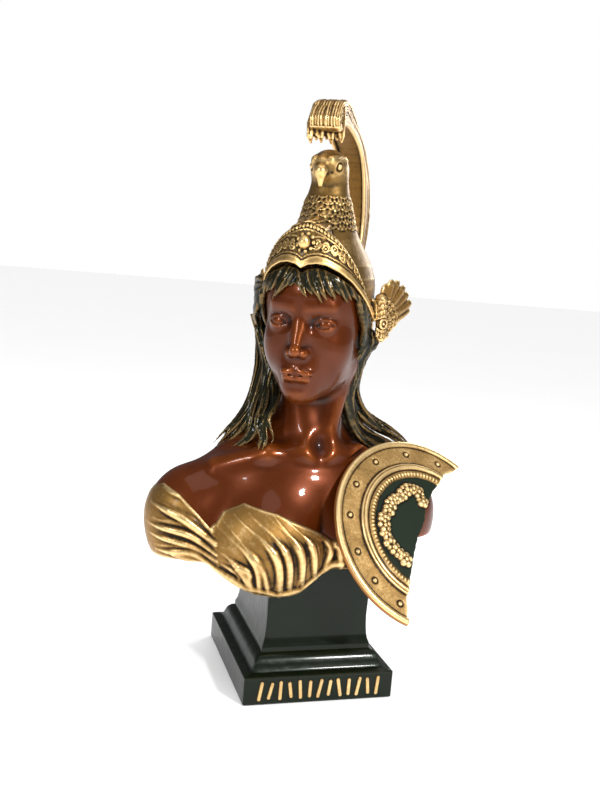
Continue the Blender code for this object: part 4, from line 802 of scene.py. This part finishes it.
def crest(h):
    """The plume, from its side view, grooved like hair outside and hollowed inside."""
    outer = curve([(0, *a) for a in CREST_OUT], 26)
    inner = curve([(0, *a) for a in CREST_IN], 26)
    middle = ((outer + inner) / 2).astype(np.float32)
    half = size(outer - inner) / 2
    d = np.full(len(h), 1e9, np.float32)
    off = np.zeros(len(h), np.float32)
    along = np.zeros(len(h), np.float32)
    for i in range(len(middle) - 1):
        step = middle[i + 1, 1:] - middle[i, 1:]
        q = h[:, 1:] - middle[i, 1:]
        t = np.clip(q @ step / float(step @ step), 0, 1)
        v = q - t[:, None] * step
        reach = size(v) - (half[i] + (half[i + 1] - half[i]) * t)
        nearer = reach < d
        d = np.where(nearer, reach, d)
        off = np.where(nearer, np.sign(v @ np.array([-step[1], step[0]], np.float32)) * size(v), off)
        along = np.where(nearer, (i + t) / 25, along)
    # Strands along the back and the sides, and a smooth channel with raised edges inside
    inside = np.interp(along, np.linspace(0, 1, 26), half).astype(np.float32)
    across = np.abs(h[:, 0]) + inside - off
    wave = across / 0.0040 + 0.8 * np.sin(14 * along + np.sign(h[:, 0]) + 2 * np.sin(5 * along))
    hairy = 0.6 * np.abs(np.sin(math.pi * wave)) + 0.4 * np.abs(np.sin(math.pi * wave * 0.37 + 4 * along))
    hairy = 0.0021 * (1 - hairy) * np.clip((off + 0.008) / 0.006, 0, 1)
    d = meet(d, np.abs(h[:, 0]) - CREST_HALF, 0.006) + hairy
    depth = np.interp(along, [0.0, 0.06, 0.12, 0.9, 0.97], [0.03, 0.012, 0.0, 0.0, 0.02]).astype(np.float32)
    channel = np.maximum(off + inside - 0.0075 + depth, np.abs(h[:, 0]) - 0.0168)
    d = dig(d, channel, 0.004)
    for x, y0, y1, z1 in CREST_LOCKS:
        lock = strand(h, [(x, y0 + 0.004, 0.400), (x * 1.1, (y0 + y1) / 2 - 0.003, 0.380),
                          (x * 1.12, y1 - 0.001, z1 + 0.008), (x * 1.1, y1 + 0.003, z1)],
                      [0.0070, 0.0068, 0.0050, 0.0018], 0.8, (0, -1, 0), 5.0, 0.0014, 40 * x)
        d = melt(d, lock, 0.0020)
    clear = np.minimum(0.0025 - helmet_outside(h), CREST_PAD_Y - 0.004 - h[:, 1])
    return np.maximum(d, np.where(h[:, 2] < 0.26, clear, -1.0))


def on_wing(h):
    """Points in the wing's own frame: out, up and off its plane."""
    a = math.radians(WING_SWEEP)
    outward = np.array([math.sin(a), math.cos(a), 0], np.float32)
    across = np.array([math.cos(a), -math.sin(a), 0], np.float32)
    q = h - WING_ROOT.astype(np.float32)
    w = q @ outward
    return np.stack([w, q[:, 2], q @ across + 0.8 * w * w], 1)


def wing_root(flat):
    d = rod(flat, (0.003, -0.024, 0), (-0.002, 0.030, 0), 0.0065, 0.0085)
    return melt(d, egg(flat, (0.028, 0.022, 0), (0.032, 0.027, 0.0035)), 0.002)


def wing(h):
    """Fan of feathers with rows of short ones at its root, held by a scroll."""
    flat = on_wing(h)
    d = wing_root(flat)
    for k, (tip_w, tip_z, r) in enumerate(FEATHERS):
        root = np.array([0.0, -0.012 + 0.35 * tip_z, 0.0])
        tip = np.array([tip_w, tip_z, 0.0])
        path = [root, root + (tip - root) * 0.6, root + (tip - root) * 0.9, tip]
        feather = strand(flat - np.array([0, 0, 0.0009 * (k % 2)], np.float32), path,
                         [0.0065, r, 0.9 * r, FEATHER_TIP], 0.42, (0, 0, 1), 5.0, 0.0008, 0.5 * k)
        d = melt(d, feather, 0.0007)
    # Short feathers in rows near the root, and the scroll that holds the wing
    ring = np.hypot(flat[:, 0], flat[:, 1] + 0.004)
    row = (ring - 0.010) / 0.0075
    turn = np.arctan2(flat[:, 1] + 0.004, flat[:, 0]) * 4.2
    bow = np.abs((turn + 0.5 * (np.floor(row) % 2)) % 1.0 - 0.5) * 2
    scale = 0.0011 * ((row - 0.4 * (1 - bow**2)) % 1.0)
    d = d - scale * np.clip((0.040 - ring) / 0.006, 0, 1) * np.clip((ring - 0.008) / 0.002, 0, 1)
    scroll = np.hypot(ring - 0.0062, flat[:, 2] - 0.0060) - 0.0021
    d = np.minimum(d, scroll)
    d = np.minimum(d, size(flat - np.array([0, -0.004, 0.0060], np.float32)) - 0.0026)
    return np.maximum(d, -(helmet_outside(h) - 0.0012))


# Meshes of the forms
CORNERS = np.array([[i, j, k] for i in (0, 1) for j in (0, 1) for k in (0, 1)])
EDGES = [(a, b) for a in range(8) for b in range(a + 1, 8) if np.abs(CORNERS[a] - CORNERS[b]).sum() == 1]


def sampled(field, low, high, step, tile=8):
    """The form on a regular grid, worked out only in tiles near its surface."""
    tiles = np.maximum(np.ceil((high - low) / (step * tile)).astype(int), 1)
    grid = np.stack(np.meshgrid(*[np.arange(n) for n in tiles], indexing="ij"), -1).reshape(-1, 3)
    middle = field((low + (grid + 0.5) * step * tile).astype(np.float32))
    values = middle.reshape(tiles)
    for axis in range(3):
        values = np.repeat(values, tile, axis)
    values = values.astype(np.float32)
    active = grid[np.abs(middle) < step * tile * 1.17 + 2 * step]
    local = np.stack(np.meshgrid(*[np.arange(tile)] * 3, indexing="ij"), -1).reshape(-1, 3)
    for start in range(0, len(active), 2000):
        index = (active[start : start + 2000, None, :] * tile + local[None]).reshape(-1, 3)
        values[tuple(index.T)] = field((low + index * step).astype(np.float32))
    return values


def surface(field, low, high, step):
    """Points and four-sided faces of the form's surface."""
    low = np.asarray(low, float)
    v = sampled(field, low, np.asarray(high, float), step)
    for axis in range(3):
        ends = np.moveaxis(v, axis, 0)
        ends[0] = ends[-1] = step
    inside = v < 0
    n = np.array(v.shape) - 1
    count = np.zeros(n, np.uint8)
    for i, j, k in CORNERS:
        count += inside[i : n[0] + i, j : n[1] + j, k : n[2] + k]
    cells = np.argwhere((count > 0) & (count < 8))
    d = np.stack([v[tuple((cells + c).T)] for c in CORNERS], 1).astype(float)
    total = np.zeros((len(cells), 3))
    hits = np.zeros((len(cells), 1))
    for a, b in EDGES:
        cross = (d[:, a] < 0) != (d[:, b] < 0)
        t = d[:, a] / np.where(cross, d[:, a] - d[:, b], 1.0)
        total += np.where(cross[:, None], CORNERS[a] + t[:, None] * (CORNERS[b] - CORNERS[a]), 0.0)
        hits += cross[:, None]
    points = low + (cells + total / hits) * step
    stride = np.array([v.shape[1] * v.shape[2], v.shape[2], 1])
    keys = cells @ stride
    faces = []
    for axis in range(3):
        u, w = (axis + 1) % 3, (axis + 2) % 3
        first = [slice(None)] * 3
        second = [slice(None)] * 3
        first[axis] = slice(0, -1)
        second[axis] = slice(1, None)
        here = inside[tuple(first)]
        edge = np.argwhere(here != inside[tuple(second)])
        outward = here[tuple(edge.T)]
        ring = []
        for du, dw in ((0, 0), (-1, 0), (-1, -1), (0, -1)):
            cell = edge.copy()
            cell[:, u] += du
            cell[:, w] += dw
            ring.append(np.searchsorted(keys, cell @ stride))
        quad = np.stack(ring, 1)
        faces.append(np.where(outward[:, None], quad, quad[:, ::-1]))
    return settled(field, points, step), np.concatenate(faces)


def settled(field, points, step):
    """Points moved onto the form's surface."""
    for _ in range(2):
        p = points.astype(np.float32)
        slope = np.zeros(p.shape, np.float32)
        for corner in ((1, -1, -1), (-1, -1, 1), (-1, 1, -1), (1, 1, 1)):
            offset = np.array(corner, np.float32)
            slope += field(p + offset * step * 0.35)[:, None] * offset
        move = -field(p)[:, None] * slope / np.maximum(size(slope), 1e-9)[:, None]
        points = points + move / np.maximum(size(move) / (0.6 * step), 1.0)[:, None]
    return points


def largest_piece(points, faces):
    """The biggest connected piece."""
    label = np.arange(len(points))
    while True:
        low = label[faces].min(1)
        merged = label.copy()
        for k in range(faces.shape[1]):
            np.minimum.at(merged, faces[:, k], low)
        merged = merged[merged]
        if np.array_equal(merged, label):
            break
        label = merged
    values, counts = np.unique(label[faces[:, 0]], return_counts=True)
    faces = faces[label[faces[:, 0]] == values[counts.argmax()]]
    used, index = np.unique(faces, return_inverse=True)
    return points[used], index.reshape(faces.shape)


# Plinth: profile as (inset, height), rounded between, with its row of strokes
def plinth_mesh():
    corner = PLINTH_CORNER
    plan = []
    for sx, sy, start in ((1, 1, 0), (-1, 1, 90), (-1, -1, 180), (1, -1, 270)):
        for k in range(5):
            t = math.radians(start + 22.5 * k)
            plan.append((sx, sy, corner * (math.cos(t) - sx), corner * (math.sin(t) - sy)))
    dense = []
    for i, here in enumerate(plan):
        dense.append(here)
        if i % 5 == 4:
            after = plan[(i + 1) % len(plan)]
            dense += [tuple(a + (b - a) * j / 24 for a, b in zip(here, after)) for j in range(1, 24)]
    points, faces = [], []
    n = len(dense)
    profile = [PLINTH_STEPS[0]]
    for (a, z0), (b, z1) in zip(PLINTH_STEPS, PLINTH_STEPS[1:]):
        parts = max(1, int(math.hypot(b - a, z1 - z0) / 0.005))
        profile += [(a + (b - a) * j / parts, z0 + (z1 - z0) * j / parts) for j in range(1, parts + 1)]
    for inset, z in profile:
        hx, hy = PLINTH_W / 2 - inset, PLINTH_D / 2 - inset
        points += [(sx * hx + dx, sy * hy + dy, z) for sx, sy, dx, dy in dense]
    for level in range(len(profile) - 1):
        a = level * n
        faces += [(a + i, a + (i + 1) % n, a + n + (i + 1) % n, a + n + i) for i in range(n)]
    for level, turn in ((0, -1), (len(profile) - 1, 1)):
        base = level * n
        faces.append(tuple(base + i for i in range(n))[::turn])
    return points, faces


def stroke_mesh(x, lean, share):
    """A shallow raised bar with rounded ends."""
    a = math.radians(lean)
    points, faces = [], []
    n = 20
    for level, grow in ((-0.0008, 0.0), (0.0008, 0.0), (0.0014, -0.0004), (STROKE_RAISED, -0.0011)):
        for i in range(n):
            t = 2 * math.pi * i / n
            half = STROKE_W / 2 + grow
            u = half * math.cos(t)
            w = half * math.sin(t) + math.copysign(STROKE_H * share / 2 - STROKE_W / 2, math.sin(t + 1e-6))
            points.append((x + u * math.cos(a) + w * math.sin(a), -PLINTH_D / 2 - level,
                           STROKE_Z - u * math.sin(a) + w * math.cos(a)))
    for level in range(3):
        b = level * n
        faces += [(b + i, b + (i + 1) % n, b + n + (i + 1) % n, b + n + i) for i in range(n)]
    faces.append(tuple(range(n))[::-1])
    faces.append(tuple(range(3 * n, 4 * n)))
    return points, faces


# Shield in its own frame: side, up, out
def shield_axes():
    yaw, tilt = math.radians(SHIELD_YAW), math.radians(SHIELD_TILT)
    n = np.array([math.sin(yaw) * math.cos(tilt), -math.cos(yaw) * math.cos(tilt), math.sin(tilt)])
    side = np.cross((0, 0, 1), n)
    side = side / np.sqrt(side @ side)
    return np.stack([side, np.cross(n, side), n])


def on_shield(points):
    return SHIELD_AT + np.asarray(points, float) @ shield_axes()


def garland(x, y):
    """Height of the blossoms over the field, each of six knobs."""
    best = np.zeros(len(x))
    for k, (cx, cy) in enumerate(GARLAND):
        reach = BLOSSOM_R * (0.64 + 0.08 * math.sin(2.3 * k))
        near = np.flatnonzero(np.hypot(x - cx, y - cy) < 2 * BLOSSOM_R)
        for j in range(6):
            t = 2 * math.pi * j / 5 + 1.7 * k
            away = reach if j < 5 else 0.0
            knob = 0.0050 + 0.0007 * math.sin(3.1 * j + k)
            rise = (0.0048 if j < 5 else 0.0064) + 0.0008 * math.sin(2.2 * j + 1.3 * k)
            rho = np.hypot(x[near] - cx - away * math.cos(t), y[near] - cy - away * math.sin(t))
            best[near] = np.maximum(best[near], ridge(rho, knob, rise))
    return best


def shield_height(r, x, y):
    radii, heights = zip(*SHIELD_PROFILE)
    z = np.interp(r, radii, heights)
    turn = np.arctan2(y, x)
    # Short ribs inside the inner band, and rivets on the wide one
    ribs = 0.5 + 0.5 * np.cos(turn * 100)
    z = z + 0.0022 * ribs * np.clip(1 - np.abs(r - 0.0885) / 0.0036, 0, 1)
    for angle in RIVET_ANGLES:
        t = math.radians(angle)
        off = np.hypot(x - RIVET_RING * math.cos(t), y - RIVET_RING * math.sin(t))
        z = z + ridge(off, 0.0028, 0.0028) - 0.0011 * np.exp(-((off - 0.0043) / 0.0010) ** 2)
    return z + garland(x, y) * (r < 0.0835)


def shield_mesh():
    n = 480
    turn = 2 * math.pi * np.arange(n) / n
    radii = np.concatenate([np.linspace(0.0016, 0.0835, 80), np.linspace(0.0842, SHIELD_R - 0.0006, 64)])
    points = [np.array([[0, 0, shield_height(np.zeros(1), np.zeros(1), np.zeros(1))[0]]])]
    for r in radii:
        x, y = r * np.cos(turn), r * np.sin(turn)
        points.append(np.column_stack([x, y, shield_height(np.full(n, r), x, y)]))
    for r, z in ((SHIELD_R, 0.0058), (SHIELD_R, 0.0020), (SHIELD_R - 0.0015, 0.0), (SHIELD_R - 0.006, 0.0)):
        points.append(np.column_stack([r * np.cos(turn), r * np.sin(turn), np.full(n, z)]))
    points.append(np.zeros((1, 3)))
    rings = len(radii) + 4
    i = np.arange(n)
    j = (i + 1) % n
    faces = [(0, 1 + a, 1 + b) for a, b in zip(i, j)]
    for ring in range(rings - 1):
        a = 1 + ring * n
        faces += list(zip((a + i).tolist(), (a + n + i).tolist(), (a + n + j).tolist(), (a + j).tolist()))
    last = 1 + (rings - 1) * n
    faces += [(last + b, last + a, last + n) for a, b in zip(i, j)]
    return np.concatenate(points), [tuple(int(k) for k in f) for f in faces]


def broken_off_mesh():
    """Everything beyond the broken edge, with a ragged line."""
    line = curve([(x, y, 0) for x, y in BREAK], 90)
    wander = 0.0006 * np.sin(np.arange(90) * 1.9) + 0.0004 * np.sin(np.arange(90) * 4.3)
    wander[0] = wander[-1] = 0
    loop = [(x + w, y + 0.4 * w) for (x, y, _), w in zip(line, wander)]
    loop += [(0.260, BREAK[-1][1]), (0.260, BREAK[0][1])]
    n = len(loop)
    points = [(x, y, -0.02) for x, y in loop] + [(x, y, 0.04) for x, y in loop]
    faces = [tuple(reversed(range(n))), tuple(range(n, 2 * n))]
    faces += [(i, (i + 1) % n, n + (i + 1) % n, n + i) for i in range(n)]
    return points, faces


# Materials
def add(tree, kind, inputs=None, **settings):
    made = tree.nodes.new(kind)
    for name, value in settings.items():
        setattr(made, name, value)
    for key, value in (inputs or {}).items():
        if isinstance(value, bpy.types.NodeSocket):
            tree.links.new(value, made.inputs[key])
        else:
            made.inputs[key].default_value = value
    return made


def mixed(tree, factor, a, b):
    made = add(tree, "ShaderNodeMix", {0: factor, 6: a, 7: b}, data_type="RGBA")
    return made.outputs[2]


def ranged(tree, value, low, high, to_low=0.0, to_high=1.0):
    return add(tree, "ShaderNodeMapRange", {"Value": value, "From Min": low, "From Max": high,
                                            "To Min": to_low, "To Max": to_high}).outputs["Result"]


def maths(tree, operation, a, b):
    return add(tree, "ShaderNodeMath", {0: a, 1: b}, operation=operation).outputs[0]


def noise(tree, where, scale, detail=5.0, rough=0.6):
    made = add(tree, "ShaderNodeTexNoise", {"Vector": where, "Scale": scale, "Detail": detail,
                                            "Roughness": rough})
    return made.outputs["Fac"]


def metal(name, recess_patina_and_shade, body, ridge_wear_and_highlight, spread, roughness, metallic, coat, mottle, grain, hatch=False):
    """Cast metal: dark in its recesses with patina and painted shade, bright on its ridges with wear and a
    painted highlight, mottled, with a fine grain.
    """
    made = bpy.data.materials.new(name)
    made.use_nodes = True
    tree = made.node_tree
    shader = tree.nodes["Principled BSDF"]
    where = add(tree, "ShaderNodeTexCoord").outputs["Object"]
    relief = add(tree, "ShaderNodeAttribute", attribute_name="relief").outputs["Fac"]
    patch = noise(tree, where, mottle[0])
    fine = noise(tree, where, mottle[0] * 9, 8.0, 0.7)
    shift = maths(tree, "MULTIPLY", maths(tree, "SUBTRACT", patch, 0.5), mottle[1])
    shift = maths(tree, "ADD", shift, maths(tree, "MULTIPLY", maths(tree, "SUBTRACT", fine, 0.5), mottle[1]))
    level = maths(tree, "ADD", relief, shift)
    # Colour by relief: the recess colour paints shade over patina, the ridge colour paints a highlight over
    # wear
    colour = mixed(tree, ranged(tree, level, spread[0], spread[1]), (*recess_patina_and_shade, 1), (*body, 1))
    colour = mixed(tree, ranged(tree, level, spread[2], spread[3]), colour, (*ridge_wear_and_highlight, 1))
    tree.links.new(colour, shader.inputs["Base Color"])
    rough = ranged(tree, level, spread[0], spread[3], roughness[0], roughness[1])
    rough = maths(tree, "ADD", rough, maths(tree, "MULTIPLY", maths(tree, "SUBTRACT", fine, 0.5), 0.18))
    tree.links.new(rough, shader.inputs["Roughness"])
    metalness = ranged(tree, level, spread[0], spread[1], metallic[0], metallic[1])
    tree.links.new(metalness, shader.inputs["Metallic"])
    shader.inputs["Specular IOR Level"].default_value = SPECULAR
    shader.inputs["Coat Weight"].default_value = coat[0]
    shader.inputs["Coat Roughness"].default_value = coat[1]
    height = maths(tree, "MULTIPLY", noise(tree, where, grain[0], 6.0, 0.65), grain[1])
    height = maths(tree, "ADD", height, maths(tree, "MULTIPLY", noise(tree, where, grain[0] / 9), grain[2]))
    if hatch:
        lay = add(tree, "ShaderNodeAttribute", attribute_name="lay").outputs["Vector"]
        mask = add(tree, "ShaderNodeAttribute", attribute_name="hatch").outputs["Fac"]
        for turn in (0.9, -0.9):
            turned = add(tree, "ShaderNodeMapping", {"Vector": lay, "Rotation": (0, 0, turn)}).outputs[0]
            lines = add(tree, "ShaderNodeTexWave", {"Vector": turned, "Scale": 0.16, "Distortion": 0.6})
            cut = maths(tree, "MULTIPLY", maths(tree, "MULTIPLY", lines.outputs["Fac"], mask), 0.5)
            height = maths(tree, "ADD", height, cut)
    bump = add(tree, "ShaderNodeBump", {"Height": height, "Strength": 0.6, "Distance": 0.0006})
    tree.links.new(bump.outputs[0], shader.inputs["Normal"])
    return made


# Objects
def relief_of(points, faces, normals, rounds, full):
    """How far each point stands above its smoothed surroundings, 0.5 where it is level."""
    a = faces.T.ravel()
    b = np.roll(faces, -1, 1).T.ravel()
    n = len(points)
    count = np.maximum(np.bincount(a, minlength=n) + np.bincount(b, minlength=n), 1)
    smooth = points.copy()
    for _ in range(rounds):
        smooth = np.stack([(np.bincount(a, smooth[b, k], n) + np.bincount(b, smooth[a, k], n)) / count
                           for k in range(3)], 1)
    stand = np.einsum("ij,ij->i", points - smooth, normals)
    return np.clip(0.5 + 0.5 * stand / full, 0, 1)


def mesh_object(name, points, faces, finish, slot, nodes):
    mesh = bpy.data.meshes.new(name)
    rows = faces.tolist() if hasattr(faces, "tolist") else faces
    mesh.from_pydata(np.asarray(points, float).tolist(), [], rows)
    mesh.update()
    mesh.shade_smooth()
    made = bpy.data.objects.new(name, mesh)
    bpy.context.scene.collection.objects.link(made)
    mesh.materials.append(finish)
    if slot:
        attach(made, "root")
        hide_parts(*nodes)
    return made


def stored(mesh, name, values):
    kind = "FLOAT" if np.ndim(values) == 1 else "FLOAT_VECTOR"
    attribute = mesh.attributes.get(name) or mesh.attributes.new(name, kind, "POINT")
    field = "value" if kind == "FLOAT" else "vector"
    attribute.data.foreach_set(field, np.asarray(values, np.float32).ravel())


def normals_of(mesh):
    flat = np.zeros(len(mesh.vertices) * 3, np.float32)
    mesh.vertex_normals.foreach_get("vector", flat)
    return flat.reshape(-1, 3)


def cast(name, field, low, high, step, rounds, full, finish, slot, nodes, head=False, covered=None):
    """A form made into a fine mesh without its covered parts, with its relief stored for the material."""
    points, faces = largest_piece(*surface(field, low, high, step))
    if covered:
        faces = faces[(covered(points.astype(np.float32)) > 0)[faces].any(1)]
        used, index = np.unique(faces, return_inverse=True)
        points, faces = points[used], index.reshape(faces.shape)
    print(name, len(faces) * 2, "triangles")
    made = mesh_object(name, from_head(points) if head else points, faces, finish, slot, nodes)
    stored(made.data, "relief", relief_of(points if not head else from_head(points), faces,
                                          normals_of(made.data), rounds, full))
    return made, points


def figure_limits(p, under_helmet=True):
    """Room for the helmet, the shaft, the shield and the wings, and the figure's lower edge."""
    q = (p - SHIELD_AT.astype(np.float32)) @ shield_axes().T.astype(np.float32)
    disc = np.maximum(np.hypot(q[:, 0], q[:, 1]) - SHIELD_R - 0.006, np.abs(q[:, 2] - 0.06) - 0.0603)
    hx, hy = PLINTH_W / 2 - PLINTH_SHAFT_INSET + 0.002, PLINTH_D / 2 - PLINTH_SHAFT_INSET + 0.002
    shaft = block(p, (-hx, -hy, 0.05), (hx, hy, SEAT_Z + SEAT_GAP))
    h = to_head(p)
    limits = [-disc, -shaft, underside(p) - p[:, 2]]
    for side in (1, -1):
        one = h * np.array([side, 1, 1], np.float32)
        room = np.maximum(wing_root(on_wing(one)) - WING_ROOM, WING_PAD_X - 0.002 - one[:, 0])
        limits.append(-room)
    if under_helmet:
        limits += [-helmet_room(p), h[:, 2] - brim(turn_of(h)) - 0.024]
    else:
        limits.append(0.0007 - helmet_outside(h, 0.0018))
    return np.maximum.reduce(limits)


def figure_pieces(finish):
    """Skin, hair and cloth, which are one casting."""
    fold_list = folds()
    lock_list = locks()
    side_list = side_locks()

    def bare(p):
        d = meet(skin(p), neckline(p) - 0.012 - p[:, 2], 0.003)
        d = melt(d, egg(p, (0.088, -0.085, 0.245), (0.036, 0.050, 0.045)), 0.02)
        return np.maximum(d, figure_limits(p))

    def in_face(h, margin=0.0):
        """Negative in the box of the face, which has a finer mesh."""
        return block(h, (-0.085, -0.140, 0.006), (0.085, 0.012, 0.200)) + margin

    def hidden(p):
        return np.minimum(hair(p, []) + 0.004, cloth(p, fold_list) + 0.002)

    cast("skin", bare, (-0.235, -0.150, 0.170), (0.215, 0.140, 0.660), 0.0022, 18, 0.0016,
         finish["skin"], "brown_bronze", ["figure"],
         covered=lambda p: np.minimum(hidden(p), in_face(to_head(p), 0.003)))
    cast("face_skin", lambda h: np.maximum(bare(from_head(h).astype(np.float32)), in_face(h)),
         (-0.087, -0.142, 0.004), (0.087, 0.014, 0.202), 0.0013, 30, 0.0014,
         finish["skin"], "brown_bronze", ["figure"], True,
         covered=lambda h: np.minimum(hidden(from_head(h).astype(np.float32)), -in_face(h, 0.0012)))

    def locks_of_hair(p):
        d = np.maximum(hair(p, lock_list), figure_limits(p))
        return np.minimum(d, np.maximum(hair(p, side_list, False), figure_limits(p, False)))

    cast("hair", locks_of_hair, (-0.215, -0.150, 0.250), (0.225, 0.160, 0.660), 0.0017, 7, 0.0008,
         finish["hair"], "brown_bronze", ["figure"], covered=lambda p: skin(p) + 0.004)
    cast("drape", lambda p: np.maximum(cloth(p, fold_list), figure_limits(p)), (-0.272, -0.170, 0.120),
         (0.225, 0.150, 0.320), 0.0017, 12, 0.0016, finish["gilt"], "gilt_bronze", ["figure"],
         covered=lambda p: skin(p) + 0.006)


def helmet_pieces(finish):
    """Helmet, crest and wings."""
    cap, points = cast("helmet_relief", helmet, (-0.105, -0.125, 0.060), (0.105, 0.130, 0.365),
                       0.00148, 8, 0.0006, finish["helmet"], "gilt_bronze", ["helmet"], True)
    s, above, below, plate = on_frontlet(points.astype(np.float32))
    hatched = plate & (above > SCROLL_MIDDLE + 0.0105) & (below > 0.0085)
    stored(cap.data, "hatch", hatched.astype(float))
    stored(cap.data, "lay", np.column_stack([s, above, np.zeros(len(s))]) * 1000)
    cast("crest_hair", crest, (-0.035, -0.045, 0.130), (0.035, 0.195, 0.425), 0.0013, 6, 0.0007,
         finish["gilt"], "gilt_bronze", ["crest"], True)
    for side, name in ((1, "wing_left"), (-1, "wing_right")):
        mirror = np.array([side, 1, 1], np.float32)
        low, high = (0.080, -0.030, 0.080), (0.145, 0.095, 0.190)
        x0, x1 = sorted((side * low[0], side * high[0]))
        cast(name + "_feathers", lambda h: wing(h * mirror), (x0, *low[1:]), (x1, *high[1:]),
             0.0009, 7, 0.0005, finish["gilt"], "gilt_bronze", [name], True)


def shield_piece(finish):
    """The shield, cut across at its broken edge."""
    points, faces = shield_mesh()
    whole = mesh_object("shield_relief", on_shield(points), faces, finish["shield"],
                        "gilt_bronze", ["shield"])
    points, faces = broken_off_mesh()
    rest = mesh_object("beyond", on_shield(points), faces, finish["gilt"], None, None)
    cut = whole.modifiers.new("broken edge", "BOOLEAN")
    cut.solver = "EXACT"
    cut.object = rest
    bpy.context.view_layer.update()
    mesh = bpy.data.meshes.new_from_object(whole.evaluated_get(bpy.context.evaluated_depsgraph_get()))
    whole.modifiers.clear()
    whole.data = mesh
    bpy.data.objects.remove(rest)
    flat = np.zeros(len(mesh.vertices) * 3)
    mesh.vertices.foreach_get("co", flat)
    local = (flat.reshape(-1, 3) - SHIELD_AT) @ shield_axes().T
    radius = np.hypot(local[:, 0], local[:, 1])
    edges = np.zeros(len(mesh.edges) * 2, int)
    mesh.edges.foreach_get("vertices", edges)
    pairs = edges.reshape(-1, 2)
    stand = relief_of(flat.reshape(-1, 3), np.column_stack([pairs, pairs]), normals_of(mesh), 10, 0.0008)
    stored(mesh, "relief", stand)
    wide = (radius > 0.1065) & (radius < 0.1330) & (local[:, 2] > 0.004)
    stored(mesh, "hatch", wide.astype(float))
    turn = np.arctan2(local[:, 1], local[:, 0])
    stored(mesh, "lay", np.column_stack([turn * 0.12, radius, np.zeros(len(turn))]) * 1000)
    mesh.materials.append(finish["field"])
    mesh.materials.append(finish["edge"])
    centre = np.zeros(len(mesh.polygons) * 3)
    mesh.polygons.foreach_get("center", centre)
    q = (centre.reshape(-1, 3) - SHIELD_AT) @ shield_axes().T
    r = np.hypot(q[:, 0], q[:, 1])
    is_field = (r < 0.0832) & (q[:, 2] < np.interp(r, *zip(*SHIELD_PROFILE)) + 0.0009) & (q[:, 2] > 0.009)
    is_edge = (r > SHIELD_R - 0.0004) | (q[:, 2] < 0.001)
    mesh.polygons.foreach_set("material_index", np.where(is_edge, 2, is_field).astype(np.int32))
    mesh.update()


def plinth_pieces(finish):
    """Plinth and its row of strokes."""
    base = mesh_object("plinth_steps", *plinth_mesh(), finish["plinth"], "dark_bronze", ["plinth"])
    # Levels by height from the table above: painted highlights and painted shade, stored as the plinth's
    # relief
    level = np.array([v.co.z for v in base.data.vertices])
    edge = np.interp(level, *zip(*PLINTH_PAINTED_LIGHT))
    stored(base.data, "relief", edge)
    base.data.set_sharp_from_angle(angle=math.radians(35))
    for k, (lean, share) in enumerate(STROKES):
        points, faces = stroke_mesh((k - (len(STROKES) - 1) / 2) * STROKE_PITCH, lean, share)
        stroke = mesh_object(f"stroke_{k + 1:02d}", points, faces, finish["gilt"], "gilt_bronze", ["plinth"])
        # Levels by ring: painted shade at the stroke's foot, a painted highlight with wear on its top
        stored(stroke.data, "relief", np.repeat([0.2, 0.35, 0.6, 0.75], 20))
        stroke.data.set_sharp_from_angle(angle=math.radians(50))


def area_light(name, at, target, wide, high, power, colour):
    lamp = bpy.data.lights.new(name, "AREA")
    lamp.shape = "RECTANGLE"
    lamp.size = wide
    lamp.size_y = high
    lamp.energy = power
    lamp.color = colour
    made = bpy.data.objects.new(name, lamp)
    bpy.context.scene.collection.objects.link(made)
    made.location = at
    made.rotation_mode = "QUATERNION"
    made.rotation_quaternion = (Vector(target) - Vector(at)).to_track_quat("-Z", "Y")


def studio():
    scene = bpy.context.scene
    scene.view_settings.view_transform = "Standard"
    # Camera as the photograph's
    camera = bpy.data.cameras.new("camera")
    holder = bpy.data.objects.new("camera", camera)
    scene.collection.objects.link(holder)
    scene.camera = holder
    wide, high = IMAGE
    camera.lens = camera.sensor_width * CAMERA_FOCUS / high
    camera.shift_x = (wide / 2 - CAMERA_CENTRE[0]) / high
    camera.shift_y = (CAMERA_CENTRE[1] - high / 2) / high
    camera.clip_start = 0.05
    right, up, ahead = CAMERA_RIGHT, CAMERA_UP, CAMERA_AHEAD
    matrix = Matrix((right, up, [-k for k in ahead])).transposed().to_4x4()
    matrix.translation = Vector(CAMERA_AT)
    holder.matrix_world = matrix
    # Pale floor
    paint = bpy.data.materials.new("floor")
    paint.use_nodes = True
    tree = paint.node_tree
    where = add(tree, "ShaderNodeTexCoord").outputs["Object"]
    tint = mixed(tree, noise(tree, where, 1.5), (0.93, 0.93, 0.93, 1), (0.96, 0.96, 0.96, 1))
    tree.links.new(tint, tree.nodes["Principled BSDF"].inputs["Base Color"])
    tree.nodes["Principled BSDF"].inputs["Roughness"].default_value = 0.9
    corners = [(x * FLOOR_HALF, y * FLOOR_HALF, FLOOR_Z) for x, y in ((-1, -1), (1, -1), (1, 1), (-1, 1))]
    floor = mesh_object("floor", corners, [(0, 1, 2, 3)], paint, None, None)
    # Light: a pale room, much darker where metal reflects it
    world = bpy.data.worlds.new("room")
    scene.world = world
    world.use_nodes = True
    tree = world.node_tree
    back = tree.nodes["Background"]
    rays = add(tree, "ShaderNodeLightPath").outputs
    glow = mixed(tree, rays["Is Glossy Ray"], (1.06, 1.06, 1.06, 1), (0.13, 0.13, 0.14, 1))
    tree.links.new(mixed(tree, rays["Is Camera Ray"], glow, (1.0, 1.0, 1.0, 1)), back.inputs["Color"])
    for light in LIGHTS:
        area_light(*light)


finish = {key: metal(*values) for key, values in FINISHES.items()}
figure_pieces(finish)
helmet_pieces(finish)
shield_piece(finish)
plinth_pieces(finish)
studio()
bpy.context.view_layer.update()
